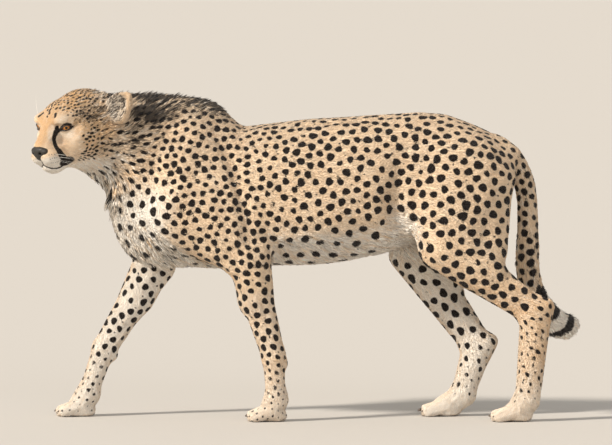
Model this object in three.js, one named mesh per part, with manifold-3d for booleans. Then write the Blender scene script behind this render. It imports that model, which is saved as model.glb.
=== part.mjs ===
// A walking cheetah at life size, as a still model: head with eyes, ears and nose, neck, trunk, tail,
// and four legs with their paws and claws.
// Millimetres, +Z up. The animal faces -X and its left side is -Y. The floor is z = 0.
//
// The flesh is one smooth field: each muscle is an ellipsoid or a tapered limb with an oval section,
// and a smooth minimum blends them. Each piece is that field, turned to triangles and parted from its
// neighbours by thin cuts.
import * as THREE from "three";
import { triTable } from "three/addons/objects/MarchingCubes.js";
import { SimplifyModifier } from "three/addons/modifiers/SimplifyModifier.js";
import { ConvexGeometry } from "three/addons/geometries/ConvexGeometry.js";
import { mergeVertices } from "three/addons/utils/BufferGeometryUtils.js";
import Module from "manifold-3d";

const wasm = await Module();
wasm.setup();

// ---------------------------------------------------------------- driving sizes

const LEFT = -1; // the sign of y on the animal's left side
const RIGHT = 1;
const GAP = 0.3; // clearance between neighbouring pieces
const BLEND = 34; // how softly the large muscles run into each other
const OUTWARD = 240; // how far a cutting block reaches past the flank

// The outline of the trunk from above the shoulders to the hips: x, top, bottom and half width.
const TRUNK = [
  { x: -345, top: 655, bottom: 380, half: 84 },
  { x: -290, top: 700, bottom: 360, half: 96 },
  { x: -225, top: 689, bottom: 352, half: 104 },
  { x: -150, top: 671, bottom: 351, half: 108 },
  { x: -80, top: 679, bottom: 359, half: 113 },
  { x: 0, top: 688, bottom: 358, half: 118 },
  { x: 90, top: 695, bottom: 368, half: 117 },
  { x: 180, top: 701, bottom: 387, half: 108 },
  { x: 260, top: 705, bottom: 415, half: 97 },
  { x: 330, top: 697, bottom: 455, half: 88 },
  { x: 400, top: 669, bottom: 505, half: 70 },
  { x: 440, top: 645, bottom: 545, half: 50 },
];

// Leg joints as x, y, z. Bone lengths agree between the two sides; the poses differ.
const FORELEGS = {
  left: {
    side: LEFT,
    blade: [-258, -50, 634],
    shoulder: [-300, -86, 478],
    elbow: [-136, -86, 368],
    wrist: [-76, -76, 150],
    knuckle: [-70, -72, 50],
    paw: [-84, -72, 0],
  },
  right: {
    side: RIGHT,
    blade: [-276, 50, 634],
    shoulder: [-372, 84, 492],
    elbow: [-352, 86, 345],
    wrist: [-470, 74, 156],
    knuckle: [-506, 70, 52],
    paw: [-527, 70, 0],
  },
};
const HINDLEGS = {
  left: {
    side: LEFT,
    hip: [372, -62, 575],
    knee: [312, -88, 398],
    hock: [522, -80, 252],
    heel: [552, -80, 266],
    knuckle: [505, -74, 50],
    paw: [478, -74, 0],
  },
  right: {
    side: RIGHT,
    hip: [366, 62, 575],
    knee: [246, 88, 378],
    hock: [394, 80, 164],
    heel: [428, 80, 174],
    knuckle: [362, 74, 50],
    paw: [318, 74, 0],
  },
};

// Tail: centre line and radius from the rump to the tip, which swings away to the right.
const TAIL = [
  { at: [429, 0, 626], radius: 30 },
  { at: [466, 0, 601], radius: 27 },
  { at: [499, 0, 545], radius: 21.5 },
  { at: [508, 0, 470], radius: 20.5 },
  { at: [508, 2, 400], radius: 22.5 },
  { at: [509, 10, 338], radius: 23 },
  { at: [528, 34, 272], radius: 25 },
  { at: [563, 72, 222], radius: 27 },
  { at: [600, 108, 205], radius: 23 },
  { at: [612, 124, 207], radius: 17 },
];

// The head: its own frame is x forward, y to its left and z up, with the origin on top of the nose.
const HEAD = { nose: [-618, -121, 626], yaw: 43, pitch: 15, roll: 0 };
const EYE = { at: [-70, 38, 34], radius: 16.5 };
const EAR = { at: [-171, 83, 29], height: 38, width: 34 };
const EAR_SPACE = 190; // the side of a block that holds a whole ear
// How far each ear leans outward, is laid backward and is turned to open sideways, in degrees.
const EAR_SET = { left: { lean: -44, back: 30, turn: 10 }, right: { lean: -22, back: 104, turn: 78 } };

// ---------------------------------------------------------------- fields

const degrees = THREE.MathUtils.degToRad;
const mix = THREE.MathUtils.lerp;

// Distance to an oval surface, for a point given in the oval's own axes.
function ovalDistance(u, v, w, ru, rv, rw) {
  const a = Math.hypot(u / ru, v / rv, w / rw);
  const b = Math.hypot(u / (ru * ru), v / (rv * rv), w / (rw * rw));
  return b < 1e-9 ? -Math.min(ru, rv, rw) : (a * (a - 1)) / b;
}

function smoothMin(a, b, blend) {
  const h = Math.max(blend - Math.abs(a - b), 0) / blend;
  return Math.min(a, b) - (h * h * blend) / 4;
}

const smoothMax = (a, b, blend) => -smoothMin(-a, -b, blend);

// An ellipsoid, turned about y by `tilt` degrees and then about z by `turn` degrees.
function ball(at, radii, { tilt = 0, turn = 0 } = {}) {
  const m = new THREE.Matrix4()
    .makeRotationFromEuler(new THREE.Euler(0, degrees(tilt), degrees(turn), "ZYX"))
    .setPosition(...at)
    .invert().elements;
  return (x, y, z) =>
    ovalDistance(
      m[0] * x + m[4] * y + m[8] * z + m[12],
      m[1] * x + m[5] * y + m[9] * z + m[13],
      m[2] * x + m[6] * y + m[10] * z + m[14],
      ...radii,
    );
}

// A tapered limb from a to b. Each end has a depth, in the plane of the limb's swing, and a width across it.
function limb(a, b, [depthA, widthA], [depthB, widthB]) {
  const start = new THREE.Vector3(...a);
  const along = new THREE.Vector3(...b).sub(start);
  const length = along.length();
  along.normalize();
  const across = new THREE.Vector3(0, 1, 0).addScaledVector(along, -along.y).normalize();
  const through = new THREE.Vector3().crossVectors(along, across);
  return (x, y, z) => {
    const px = x - start.x;
    const py = y - start.y;
    const pz = z - start.z;
    const run = px * along.x + py * along.y + pz * along.z;
    const t = Math.min(Math.max(run / length, 0), 1);
    const depth = mix(depthA, depthB, t);
    const width = mix(widthA, widthB, t);
    return ovalDistance(
      run - t * length,
      px * through.x + py * through.y + pz * through.z,
      px * across.x + py * across.y + pz * across.z,
      (depth + width) / 2,
      depth,
      width,
    );
  };
}

// The trunk as an oval section swept along x, a little narrower along the spine than at the belly.
function trunkField(stations) {
  const first = stations[0].x;
  const last = stations[stations.length - 1].x;
  const curves = ["top", "bottom", "half"].map(
    (key) => new THREE.SplineCurve(stations.map((s) => new THREE.Vector2(s.x, s[key]))),
  );
  // Each curve is read once at many steps, so that the field only looks its sizes up.
  const STEPS = 400;
  const tables = curves.map((curve) => {
    const points = curve.getPoints(STEPS);
    return Float64Array.from({ length: STEPS + 1 }, (_, i) => {
      const x = mix(first, last, i / STEPS);
      const k = Math.max(1, points.findIndex((p) => p.x >= x - 1e-6));
      const [p, q] = [points[k - 1], points[k]];
      return mix(p.y, q.y, Math.min(Math.max((x - p.x) / (q.x - p.x), 0), 1));
    });
  });
  const END = 55; // length of the round end past the first and last section
  const SPINE = 0.14; // how much narrower the section is at the spine
  return (x, y, z) => {
    const inside = Math.min(Math.max(x, first), last);
    const place = ((inside - first) / (last - first)) * STEPS;
    const i = Math.min(Math.floor(place), STEPS - 1);
    const [top, bottom, half] = tables.map((t) => mix(t[i], t[i + 1], place - i));
    const rise = (top - bottom) / 2;
    const up = (z - (top + bottom) / 2) / rise;
    const width = half * (1 - SPINE * Math.min(Math.max(up, -1), 1));
    return ovalDistance(x - inside, y, up * rise, END, width, rise);
  };
}

// Adds muscles one after another, each with its own blend, then hollows.
function flesh(muscles, hollows = []) {
  return (x, y, z) => {
    let d = 1e9;
    for (const [field, blend = BLEND] of muscles) d = smoothMin(d, field(x, y, z), blend);
    for (const [field, blend] of hollows) d = smoothMax(d, -field(x, y, z), blend);
    return d;
  };
}

// ---------------------------------------------------------------- legs

// A paw on the floor, toes towards -x: four toes in a fan, the pad behind them and the rise to the leg.
const TOES = [0, 1, 2, 3];
const TOE_SPREAD = 17;
const toePlace = (paw, reach, j) => {
  const out = j - 1.5;
  return [paw[0] - reach + Math.abs(out) * 8, paw[1] + out * TOE_SPREAD, 11.5];
};

function pawFlesh({ knuckle, paw }, reach) {
  const toes = TOES.flatMap((j) => {
    const tip = toePlace(paw, reach, j);
    const root = [paw[0] + 6, mix(paw[1], tip[1], 0.7), 25];
    return [[limb(root, tip, [14, 11], [12.5, 10]), 5]];
  });
  return [
    [limb(knuckle, [paw[0] - 2, paw[1], 26], [25, 24], [20, 26]), 18],
    [ball([paw[0] + 10, paw[1], 12], [28, 25, 16]), 14],
    ...toes,
  ];
}

const FORE_REACH = 46;
const HIND_REACH = 50;

function forelegFlesh(leg) {
  const { blade, shoulder, elbow, wrist, knuckle, side } = leg;
  const back = [elbow[0] + 26, elbow[1], elbow[2] + 22];
  const triceps = [mix(shoulder[0], elbow[0], 0.6) + 18, side * 80, mix(shoulder[2], elbow[2], 0.1) + 6];
  const swell = [mix(elbow[0], wrist[0], 0.28), elbow[1], mix(elbow[2], wrist[2], 0.28)];
  return [
    [limb(blade, shoulder, [42, 24], [52, 30]), 40],
    [limb(shoulder, elbow, [62, 32], [40, 30]), 40],
    [ball(triceps, [66, 34, 92], { tilt: -24 }), 40],
    [ball(back, [17, 17, 22]), 24],
    [limb(elbow, wrist, [39, 30], [25, 21]), 26],
    [ball(swell, [35, 27, 62], { tilt: 14 }), 24],
    [ball([wrist[0] + 22, wrist[1], wrist[2] - 16], [9, 9, 10]), 12],
    [limb(wrist, knuckle, [23, 22], [21, 24]), 16],
    ...pawFlesh(leg, FORE_REACH),
  ];
}

function hindlegFlesh(leg) {
  const { hip, knee, hock, heel, knuckle, side } = leg;
  const buttock = [420, side * 52, 545];
  const ham = [mix(knee[0], hock[0], 0.49), side * 74, mix(knee[2], hock[2], 0.02)];
  const calf = [mix(knee[0], hock[0], 0.32), knee[1], mix(knee[2], hock[2], 0.24)];
  const thigh = [mix(hip[0], knee[0], 0.42), side * 78, mix(hip[2], knee[2], 0.4)];
  const tendonTop = [heel[0] - 12, heel[1], heel[2] - 6];
  const tendonFoot = [knuckle[0] + 12, knuckle[1], knuckle[2] + 40];
  return [
    [limb(hip, knee, [98, 42], [52, 34]), 40],
    [limb(buttock, ham, [48, 36], [44, 32]), 34],
    [ball(thigh, [84, 42, 128], { tilt: 18 }), 40],
    [limb(knee, hock, [50, 33], [32, 22]), 30],
    [ball(calf, [72, 33, 47], { tilt: 35 }), 24],
    [limb(hock, heel, [17, 15], [14, 13]), 18],
    [limb(tendonTop, tendonFoot, [14, 15], [16, 17]), 16],
    [limb(hock, knuckle, [32, 23], [25, 25]), 20],
    ...pawFlesh(leg, HIND_REACH),
  ];
}

// ---------------------------------------------------------------- head

const headPose = new THREE.Matrix4()
  .makeRotationZ(Math.PI + degrees(HEAD.yaw))
  .multiply(new THREE.Matrix4().makeRotationY(degrees(HEAD.pitch)))
  .multiply(new THREE.Matrix4().makeRotationX(degrees(HEAD.roll)))
  .setPosition(...HEAD.nose);
const headInverse = headPose.clone().invert().elements;
const fromHead = (p) => new THREE.Vector3(...p).applyMatrix4(headPose).toArray();

// A field written in the head's own frame.
const onHead = (field) => (x, y, z) => {
  const m = headInverse;
  return field(
    m[0] * x + m[4] * y + m[8] * z + m[12],
    m[1] * x + m[5] * y + m[9] * z + m[13],
    m[2] * x + m[6] * y + m[10] * z + m[14],
  );
};

// A pair of muscles, one on each side of the head.
const pair = (make, blend) => [
  [make(1), blend],
  [make(-1), blend],
];

const skull = flesh(
  [
    [ball([-140, 0, 30], [78, 67, 68]), 30],
    [ball([-93, 0, 33], [44, 52, 44]), 26],
    ...pair((s) => ball([-66, s * 35, 50], [22, 20, 12], { tilt: -8, turn: s * 20 }), 16),
    [limb([-58, 0, 36], [-20, 0, -1], [18, 21], [12, 19]), 20],
    [ball([-38, 0, -13], [34, 32, 21]), 16],
    ...pair((s) => ball([-26, s * 17, -25], [24, 18, 18]), 10),
    [ball([-37, 0, -51], [22, 20, 16]), 12],
    [limb([-50, 0, -44], [-114, 0, -34], [19, 27], [36, 46]), 22],
    ...pair((s) => ball([-106, s * 48, 0], [46, 29, 44], { turn: s * 14 }), 26),
    ...pair((s) => ball([-146, s * 56, -24], [40, 27, 46]), 30),
    [ball([-154, 0, -40], [54, 54, 44]), 30],
    ...pair((s) => ball([-162, s * 40, 34], [28, 26, 28]), 20),
  ],
  [
    ...pair((s) => ball([-46, s * 39, 35], [17, 13, 12], { turn: s * 36 }), 10),
    ...pair((s) => ball([-38, s * 36, 8], [22, 9, 10], { turn: s * 20 }), 14),
  ],
);

const noseField = flesh(
  [
    [ball([-11, 0, -9], [13, 26, 13]), 6],
    [ball([-9, 0, -20], [9, 9, 10]), 8],
  ],
  pair((s) => ball([-1, s * 11, -12], [5, 4, 3], { turn: s * 30 }), 3),
);

// ---------------------------------------------------------------- whole body

const neckFlesh = [
  [limb([-432, -10, 640], [-290, 0, 570], [98, 62], [142, 88]), 60],
  [limb([-455, -14, 655], [-250, 0, 640], [60, 44], [82, 52]), 50],
  [ball([-357, 0, 470], [86, 78, 104]), 50],
];

const flankHollows = [LEFT, RIGHT].map((side) => [
  limb([212, side * 128, 600], [206, side * 112, 440], [24, 26], [20, 22]),
  40,
]);

const body = flesh(
  [
    [trunkField(TRUNK), 40],
    ...neckFlesh,
    ...Object.values(FORELEGS).flatMap(forelegFlesh),
    ...Object.values(HINDLEGS).flatMap(hindlegFlesh),
    [onHead(skull), 34],
  ],
  flankHollows,
);

// ---------------------------------------------------------------- fields to solids

// Marching cubes: the corners of a cell, and the two corners that each of its edges joins.
const CORNERS = [
  [0, 0, 0],
  [1, 0, 0],
  [1, 1, 0],
  [0, 1, 0],
  [0, 0, 1],
  [1, 0, 1],
  [1, 1, 1],
  [0, 1, 1],
];
const EDGES = [
  [0, 1],
  [1, 2],
  [2, 3],
  [3, 0],
  [4, 5],
  [5, 6],
  [6, 7],
  [7, 4],
  [0, 4],
  [1, 5],
  [2, 6],
  [3, 7],
];

// The surface where the field is zero, inside a box, with cells of one size. The box's own sides close it.
function surface(field, box, cell) {
  const size = box.getSize(new THREE.Vector3());
  const [nx, ny, nz] = size.toArray().map((s) => Math.ceil(s / cell) + 1);
  const at = (i, j, k) => (k * ny + j) * nx + i;
  const values = new Float64Array(nx * ny * nz);
  for (let k = 0; k < nz; k++)
    for (let j = 0; j < ny; j++)
      for (let i = 0; i < nx; i++) {
        const rim = i === 0 || j === 0 || k === 0 || i === nx - 1 || j === ny - 1 || k === nz - 1;
        const d = field(box.min.x + i * cell, box.min.y + j * cell, box.min.z + k * cell);
        values[at(i, j, k)] = rim ? Math.max(d, cell / 2) : d === 0 ? 1e-6 : d;
      }
  const positions = [];
  const known = new Map();
  const triangles = [];
  const vertexOn = (i, j, k, edge) => {
    const [a, b] = EDGES[edge].map((c) => CORNERS[c]);
    const [ga, gb] = [a, b].map((c) => at(i + c[0], j + c[1], k + c[2]));
    const key = Math.min(ga, gb) * nx * ny * nz + Math.max(ga, gb);
    if (!known.has(key)) {
      const t = Math.min(Math.max(values[ga] / (values[ga] - values[gb]), 0.02), 0.98);
      const cellAt = [i, j, k];
      known.set(key, positions.length / 3);
      const start = box.min.toArray();
      positions.push(...a.map((c, n) => start[n] + (cellAt[n] + mix(c, b[n], t)) * cell));
    }
    return known.get(key);
  };
  for (let k = 0; k < nz - 1; k++)
    for (let j = 0; j < ny - 1; j++)
      for (let i = 0; i < nx - 1; i++) {
        let pattern = 0;
        CORNERS.forEach((c, n) => {
          if (values[at(i + c[0], j + c[1], k + c[2])] < 0) pattern |= 1 << n;
        });
        for (let n = pattern * 16; triTable[n] !== -1; n += 3)
          triangles.push(...[2, 1, 0].map((m) => vertexOn(i, j, k, triTable[n + m])));
      }
  const geometry = new THREE.BufferGeometry();
  geometry.setAttribute("position", new THREE.Float32BufferAttribute(positions, 3));
  return geometry.setIndex(triangles);
}

// A closed geometry as a manifold-3d solid, and back again.
function solidOf(geometry) {
  const bare = new THREE.BufferGeometry();
  bare.setAttribute("position", geometry.getAttribute("position").clone());
  bare.setIndex(geometry.index);
  const merged = mergeVertices(bare, 1e-4);
  const made = new wasm.Manifold(
    new wasm.Mesh({
      numProp: 3,
      vertProperties: merged.attributes.position.array,
      triVerts: new Uint32Array(merged.index.array),
    }),
  );
  return made;
}

function geometryOf(solid) {
  const { vertProperties, triVerts } = solid.getMesh();
  const geometry = new THREE.BufferGeometry();
  geometry.setAttribute("position", new THREE.BufferAttribute(vertProperties, 3));
  geometry.setIndex(new THREE.BufferAttribute(triVerts, 1));
  geometry.computeVertexNormals();
  return geometry;
}

const largest = (solid) =>
  solid.decompose().reduce((best, piece) => (piece.volume() > best.volume() ? piece : best));

// The field as a solid of about `triangles` triangles.
async function solidFrom(field, box, cell, triangles) {
  const fine = surface(field, box, cell);
  const vertices = fine.getAttribute("position").count;
  const spare = vertices - triangles / 2;
  const light = spare > 0 ? await new SimplifyModifier().modify(fine, Math.floor(spare)) : fine;
  return largest(solidOf(light));
}

// ---------------------------------------------------------------- cutting blocks

// A block with the given corners on its inner face, each x, y, z, carried outwards to one flank.
function block(side, corners) {
  const outer = corners.map(([x, , z]) => [x, side * OUTWARD, z]);
  return new ConvexGeometry([...corners, ...outer].map((p) => new THREE.Vector3(...p)));
}

// The space in front of a plane through a point.
function beyond(point, normal) {
  const SIZE = 3000;
  const geometry = new THREE.BoxGeometry(SIZE, SIZE, SIZE).translate(0, 0, SIZE / 2);
  const direction = new THREE.Vector3(...normal).normalize();
  geometry.applyQuaternion(
    new THREE.Quaternion().setFromUnitVectors(new THREE.Vector3(0, 0, 1), direction),
  );
  return geometry.translate(...point);
}

// A piece moved by the gap in each of six directions: what is common to all is drawn in by the gap, and what
// they cover together stands off by it.
const STEPS_ROUND = [
  [GAP, 0, 0],
  [-GAP, 0, 0],
  [0, GAP, 0],
  [0, -GAP, 0],
  [0, 0, GAP],
  [0, 0, -GAP],
];
const drawnIn = (geometry) =>
  STEPS_ROUND.map((step) => solidOf(geometry.clone().translate(...step))).reduce((all, one) =>
    all.intersect(one),
  );
const clearance = (solid) =>
  STEPS_ROUND.map((step) => solid.translate(step)).reduce((all, one) => all.add(one));

// The cut across a leg at a joint: two points either side of it, square to the bisector of its two bones.
function cutAt(before, joint, after, reach, inner) {
  const flat = (p) => new THREE.Vector2(p[0], p[2]);
  const incoming = flat(joint).sub(flat(before)).normalize();
  const outgoing = flat(after).sub(flat(joint)).normalize();
  const course = incoming.add(outgoing).normalize();
  return [-1, 1].map((s) => [joint[0] - s * course.y * reach, inner, joint[2] + s * course.x * reach]);
}

// ---------------------------------------------------------------- pieces

const root = new THREE.Group();
const finish = {
  coat: { color: 0xd9b382, roughness: 0.9 },
  eye: { color: 0x8a5422, roughness: 0.15 },
  leather: { color: 0x1c1715, roughness: 0.5 },
  claw: { color: 0x4a4038, roughness: 0.45 },
};

function add(name, solid, look = "coat") {
  const material = new THREE.MeshStandardMaterial({ ...finish[look], metalness: 0 });
  const mesh = new THREE.Mesh(geometryOf(solid), material);
  mesh.name = name;
  root.add(mesh);
}

const boxOf = (geometry, margin) => {
  geometry.computeBoundingBox();
  return geometry.boundingBox.clone().expandByScalar(margin);
};

// A piece of the body inside a cutting block, at its own fineness.
async function cutOut(cutter, cell, triangles) {
  const space = boxOf(cutter, 2 * cell);
  space.intersect(WHOLE);
  const rough = await solidFrom(body, space, cell, triangles);
  return largest(rough.intersect(drawnIn(cutter)).intersect(aboveFloor));
}

const WHOLE = new THREE.Box3(new THREE.Vector3(-700, -190, -16), new THREE.Vector3(600, 190, 800));

const aboveFloor = solidOf(beyond([0, 0, 0], [0, 0, 1]));

// Claws: a short blunt spike at each toe, and a dew claw inside each front wrist.
const CLAW = { length: 15, radius: 3.4 };

function claw(at, droop, turn = 0) {
  const geometry = new THREE.ConeGeometry(CLAW.radius, CLAW.length, 7);
  geometry.rotateZ(Math.PI / 2);
  geometry.rotateY(-degrees(droop));
  geometry.rotateZ(degrees(turn));
  return geometry.translate(...at);
}

function clawsOf(paw, reach) {
  return TOES.map((j) => {
    const [x, y, z] = toePlace(paw, reach, j);
    return claw([x - 14, y, z + 1], 22, (j - 1.5) * -6);
  });
}

const swollen = (geometry, by) => {
  geometry.computeBoundingBox();
  const centre = geometry.boundingBox.getCenter(new THREE.Vector3());
  const size = geometry.boundingBox.getSize(new THREE.Vector3());
  const grow = size.toArray().map((s) => (s + 2 * by) / s);
  return geometry
    .clone()
    .translate(...centre.clone().negate())
    .scale(...grow)
    .translate(...centre);
};

async function addPaw(name, cutter, leg, reach) {
  let solid = await cutOut(cutter, 4.5, 230);
  const claws = clawsOf(leg.paw, reach);
  claws.forEach((one, i) => {
    solid = solid.subtract(solidOf(swollen(one, GAP)));
    add(`${name}_claw_${i + 1}`, solidOf(one), "claw");
  });
  add(name, largest(solid));
}

const parted = []; // every block that takes flesh out of the trunk

async function addForeleg(name, leg) {
  const { side, shoulder, elbow, wrist, knuckle, paw } = leg;
  const inner = side * 22;
  const lean = side === LEFT ? 0 : -70;
  const elbowCut = cutAt([elbow[0], 0, elbow[2] + 100], [elbow[0], 0, 343], wrist, 62, inner);
  const wristCut = cutAt(elbow, wrist, knuckle, 60, inner);
  const knuckleCut = cutAt(wrist, [knuckle[0], 0, knuckle[2] + 6], [knuckle[0], 0, 0], 90, inner);
  const floorLine = knuckleCut.map(([x]) => [x, inner, -20]);
  const upper = block(side, [
    ...elbowCut.map(([x, , z]) => [x, side * 44, z]),
    [shoulder[0] - 72, side * 62, shoulder[2] - 20],
    [shoulder[0] - 30 + lean * 0.4, side * 66, 600],
    [-170 + lean * 0.8, side * 66, 628],
    [-128 + lean * 1.4, side * 62, 470],
  ]);
  parted.push(upper);
  add(`${name}_upper_arm`, await cutOut(upper, 9, 380));
  const lower = [
    ["forearm", elbowCut, wristCut, 8, 260],
    ["wrist", wristCut, knuckleCut, 6, 180],
  ];
  for (const [part, from, to, cell, triangles] of lower) {
    const cutter = block(side, [...from, ...to]);
    parted.push(cutter);
    add(`${name}_${part}`, await cutOut(cutter, cell, triangles));
  }
  const pawBlock = block(side, [...knuckleCut, ...floorLine]);
  parted.push(pawBlock);
  await addPaw(`${name}_paw`, pawBlock, leg, FORE_REACH);
}

async function addHindleg(name, leg) {
  const { side, hip, knee, hock, knuckle } = leg;
  const inner = side * 18;
  const kneeCut = [
    [knee[0] - 90, inner, knee[2] - 16],
    [knee[0] + 170, inner, knee[2] - 66],
  ];
  const hockCut = cutAt(knee, hock, knuckle, 74, inner);
  const knuckleCut = cutAt(hock, [knuckle[0], 0, knuckle[2] + 6], [knuckle[0], 0, 0], 96, inner);
  const floorLine = knuckleCut.map(([x]) => [x, inner, -20]);
  const thigh = block(side, [
    ...kneeCut,
    [knee[0] - 96, side * 40, knee[2] + 44],
    [hip[0] - 96, side * 56, hip[2] + 40],
    [hip[0] - 10, side * 60, hip[2] + 80],
    [hip[0] + 92, side * 46, hip[2] - 20],
    [hip[0] + 100, side * 30, hip[2] - 120],
  ]);
  parted.push(thigh);
  add(`${name}_thigh`, await cutOut(thigh, 9, 400));
  const lower = [
    ["shank", kneeCut, hockCut, 8, 280],
    ["hind_foot", hockCut, knuckleCut, 6, 200],
  ];
  for (const [part, from, to, cell, triangles] of lower) {
    const cutter = block(side, [...from, ...to]);
    parted.push(cutter);
    add(`${name}_${part}`, await cutOut(cutter, cell, triangles));
  }
  const pawBlock = block(side, [...knuckleCut, ...floorLine]);
  parted.push(pawBlock);
  await addPaw(`${name}_paw`, pawBlock, leg, HIND_REACH);
}

await addForeleg("left_foreleg", FORELEGS.left);
await addForeleg("right_foreleg", FORELEGS.right);
await addHindleg("left_hindleg", HINDLEGS.left);
await addHindleg("right_hindleg", HINDLEGS.right);

// Ears: a shallow cup, open to the side, sitting low on the head behind the temple and laid back a little.
function earField(s, { lean, back, turn }) {
  const pose = new THREE.Matrix4()
    .makeTranslation(EAR.at[0], s * EAR.at[1], EAR.at[2])
    .multiply(new THREE.Matrix4().makeRotationY(-degrees(back)))
    .multiply(new THREE.Matrix4().makeRotationX(s * degrees(lean)))
    .multiply(new THREE.Matrix4().makeRotationZ(s * degrees(turn)))
    .invert().elements;
  const { width, height } = EAR;
  const shell = flesh(
    [[ball([0, 0, height * 0.8], [15, width, height]), 1]],
    [[ball([13, 0, height * 0.9], [16, width - 5, height - 5]), 5]],
  );
  return (x, y, z) =>
    shell(
      pose[0] * x + pose[4] * y + pose[8] * z + pose[12],
      pose[1] * x + pose[5] * y + pose[9] * z + pose[13],
      pose[2] * x + pose[6] * y + pose[10] * z + pose[14],
    );
}

const headSpace = new THREE.Box3().setFromPoints(
  [-1, 1].flatMap((i) =>
    [-1, 1].flatMap((j) =>
      [-1, 1].map((k) => new THREE.Vector3(-110 + i * 125, j * 125, 12 + k * 110).applyMatrix4(headPose)),
    ),
  ),
);
const neckTop = fromHead([-196, 0, 60]);
const throat = fromHead([-146, 0, -60]);
const headCut = beyond(
  neckTop,
  new THREE.Vector3(0.92, 0, 0.39).applyMatrix4(new THREE.Matrix4().extractRotation(headPose)).toArray(),
);
let head = (await solidFrom(body, headSpace, 5, 1050)).intersect(solidOf(headCut));
const eyes = [1, -1].map((s) => {
  const place = fromHead([EYE.at[0], s * EYE.at[1], EYE.at[2]]);
  const globe = (radius) => solidOf(new THREE.SphereGeometry(radius, 12, 9).translate(...place));
  return [globe(EYE.radius), globe(EYE.radius + GAP)];
});
const noseSpace = new THREE.Box3().setFromCenterAndSize(
  new THREE.Vector3(...fromHead([-9, 0, -10])),
  new THREE.Vector3(64, 64, 64),
);
const nose = await solidFrom(onHead(noseField), noseSpace, 2, 160);
head = head.subtract(solidOf(swollen(geometryOf(nose.hull()), GAP)));
for (const [, socket] of eyes) head = head.subtract(socket);
add("head", largest(head));
add("nose", nose, "leather");
["left", "right"].forEach((name, i) => {
  add(`${name}_eye`, eyes[i][0], "eye");
});

// Neck, trunk and tail.
const chestLine = beyond([-366, 0, 600], [-0.868, 0, 0.494]);
const backOfHead = beyond(
  fromHead([-196 - GAP, 0, 60]),
  new THREE.Vector3(-0.92, 0, -0.39).applyMatrix4(new THREE.Matrix4().extractRotation(headPose)).toArray(),
);
const torso = (await solidFrom(body, WHOLE, 13, 1900)).intersect(solidOf(backOfHead));
let neck = torso.intersect(drawnIn(chestLine));
let trunk = torso.subtract(solidOf(chestLine));
for (const cutter of parted) {
  trunk = trunk.subtract(solidOf(cutter));
  neck = neck.subtract(solidOf(cutter));
}
neck = largest(neck);
add("neck", neck);
for (const [name, s] of [["left", 1], ["right", -1]]) {
  const middle = fromHead([EAR.at[0], s * (EAR.at[1] + 12), EAR.at[2] + 25]);
  const space = new THREE.Box3().setFromCenterAndSize(
    new THREE.Vector3(...middle),
    new THREE.Vector3(EAR_SPACE, EAR_SPACE, EAR_SPACE),
  );
  const whole = await solidFrom(onHead(earField(s, EAR_SET[name])), space, 3, 220);
  add(`${name}_ear`, largest(whole.subtract(clearance(head)).subtract(clearance(neck))));
}

const tailLine = new THREE.CatmullRomCurve3(TAIL.map(({ at }) => new THREE.Vector3(...at)));
const tailRadius = (t) => {
  const place = t * (TAIL.length - 1);
  const i = Math.min(Math.floor(place), TAIL.length - 2);
  return mix(TAIL[i].radius, TAIL[i + 1].radius, place - i);
};
const TAIL_STEPS = 26;
const tailLinks = Array.from({ length: TAIL_STEPS }, (_, i) => {
  const [t, u] = [i / TAIL_STEPS, (i + 1) / TAIL_STEPS];
  const [from, to] = [t, u].map((s) => tailLine.getPoint(s).toArray());
  const [ra, rb] = [t, u].map(tailRadius);
  return [limb(from, to, [ra, ra], [rb, rb]), 3];
});
const tailField = flesh(tailLinks);
const tailPoints = TAIL.map(({ at }) => new THREE.Vector3(...at));
const tailSpace = new THREE.Box3().setFromPoints(tailPoints).expandByScalar(48);
const tail = await solidFrom(tailField, tailSpace, 6, 600);
const rootCut = beyond([462, 0, 600], [0.6, 0, -0.8]);
const middleCut = beyond([510, 0, 420], [0, 0, -1]);
const tipCut = beyond([530, 34, 272], [0.5, 0.5, -0.7]);
const freeTail = tail.intersect(drawnIn(rootCut));
const tailBase = largest(freeTail.subtract(solidOf(middleCut)));
add("tail_base", tailBase);
add("tail_middle", largest(freeTail.intersect(drawnIn(middleCut)).subtract(solidOf(tipCut))));
add("tail_tip", largest(freeTail.intersect(drawnIn(tipCut))));
trunk = trunk.add(largest(tail.subtract(solidOf(rootCut)))).subtract(clearance(tailBase));
add("trunk", largest(trunk));

// The origin is in the middle of the animal's box, on the floor.
const middle = new THREE.Box3().setFromObject(root).getCenter(new THREE.Vector3());
for (const piece of root.children) piece.geometry.translate(-middle.x, -middle.y, 0);

export default root;
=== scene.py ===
import heapq
import math

import bmesh
import bpy
import numpy as np
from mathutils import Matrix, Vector, kdtree
from mathutils.bvhtree import BVHTree


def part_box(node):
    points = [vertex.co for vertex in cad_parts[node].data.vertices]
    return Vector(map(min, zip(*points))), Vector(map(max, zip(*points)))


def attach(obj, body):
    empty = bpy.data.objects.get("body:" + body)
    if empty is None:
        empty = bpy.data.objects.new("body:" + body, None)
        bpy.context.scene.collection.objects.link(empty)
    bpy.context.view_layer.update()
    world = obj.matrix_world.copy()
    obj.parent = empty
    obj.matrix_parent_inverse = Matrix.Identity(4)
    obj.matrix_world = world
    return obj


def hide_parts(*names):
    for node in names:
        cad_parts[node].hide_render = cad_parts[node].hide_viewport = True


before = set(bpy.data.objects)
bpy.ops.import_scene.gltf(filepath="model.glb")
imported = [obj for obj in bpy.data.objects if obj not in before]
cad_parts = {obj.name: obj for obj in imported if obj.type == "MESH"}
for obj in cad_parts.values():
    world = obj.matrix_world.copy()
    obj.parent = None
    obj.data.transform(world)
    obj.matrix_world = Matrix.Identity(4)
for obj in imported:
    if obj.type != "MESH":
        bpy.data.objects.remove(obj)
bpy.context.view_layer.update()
bpy.ops.object.select_all(action="DESELECT")


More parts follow.
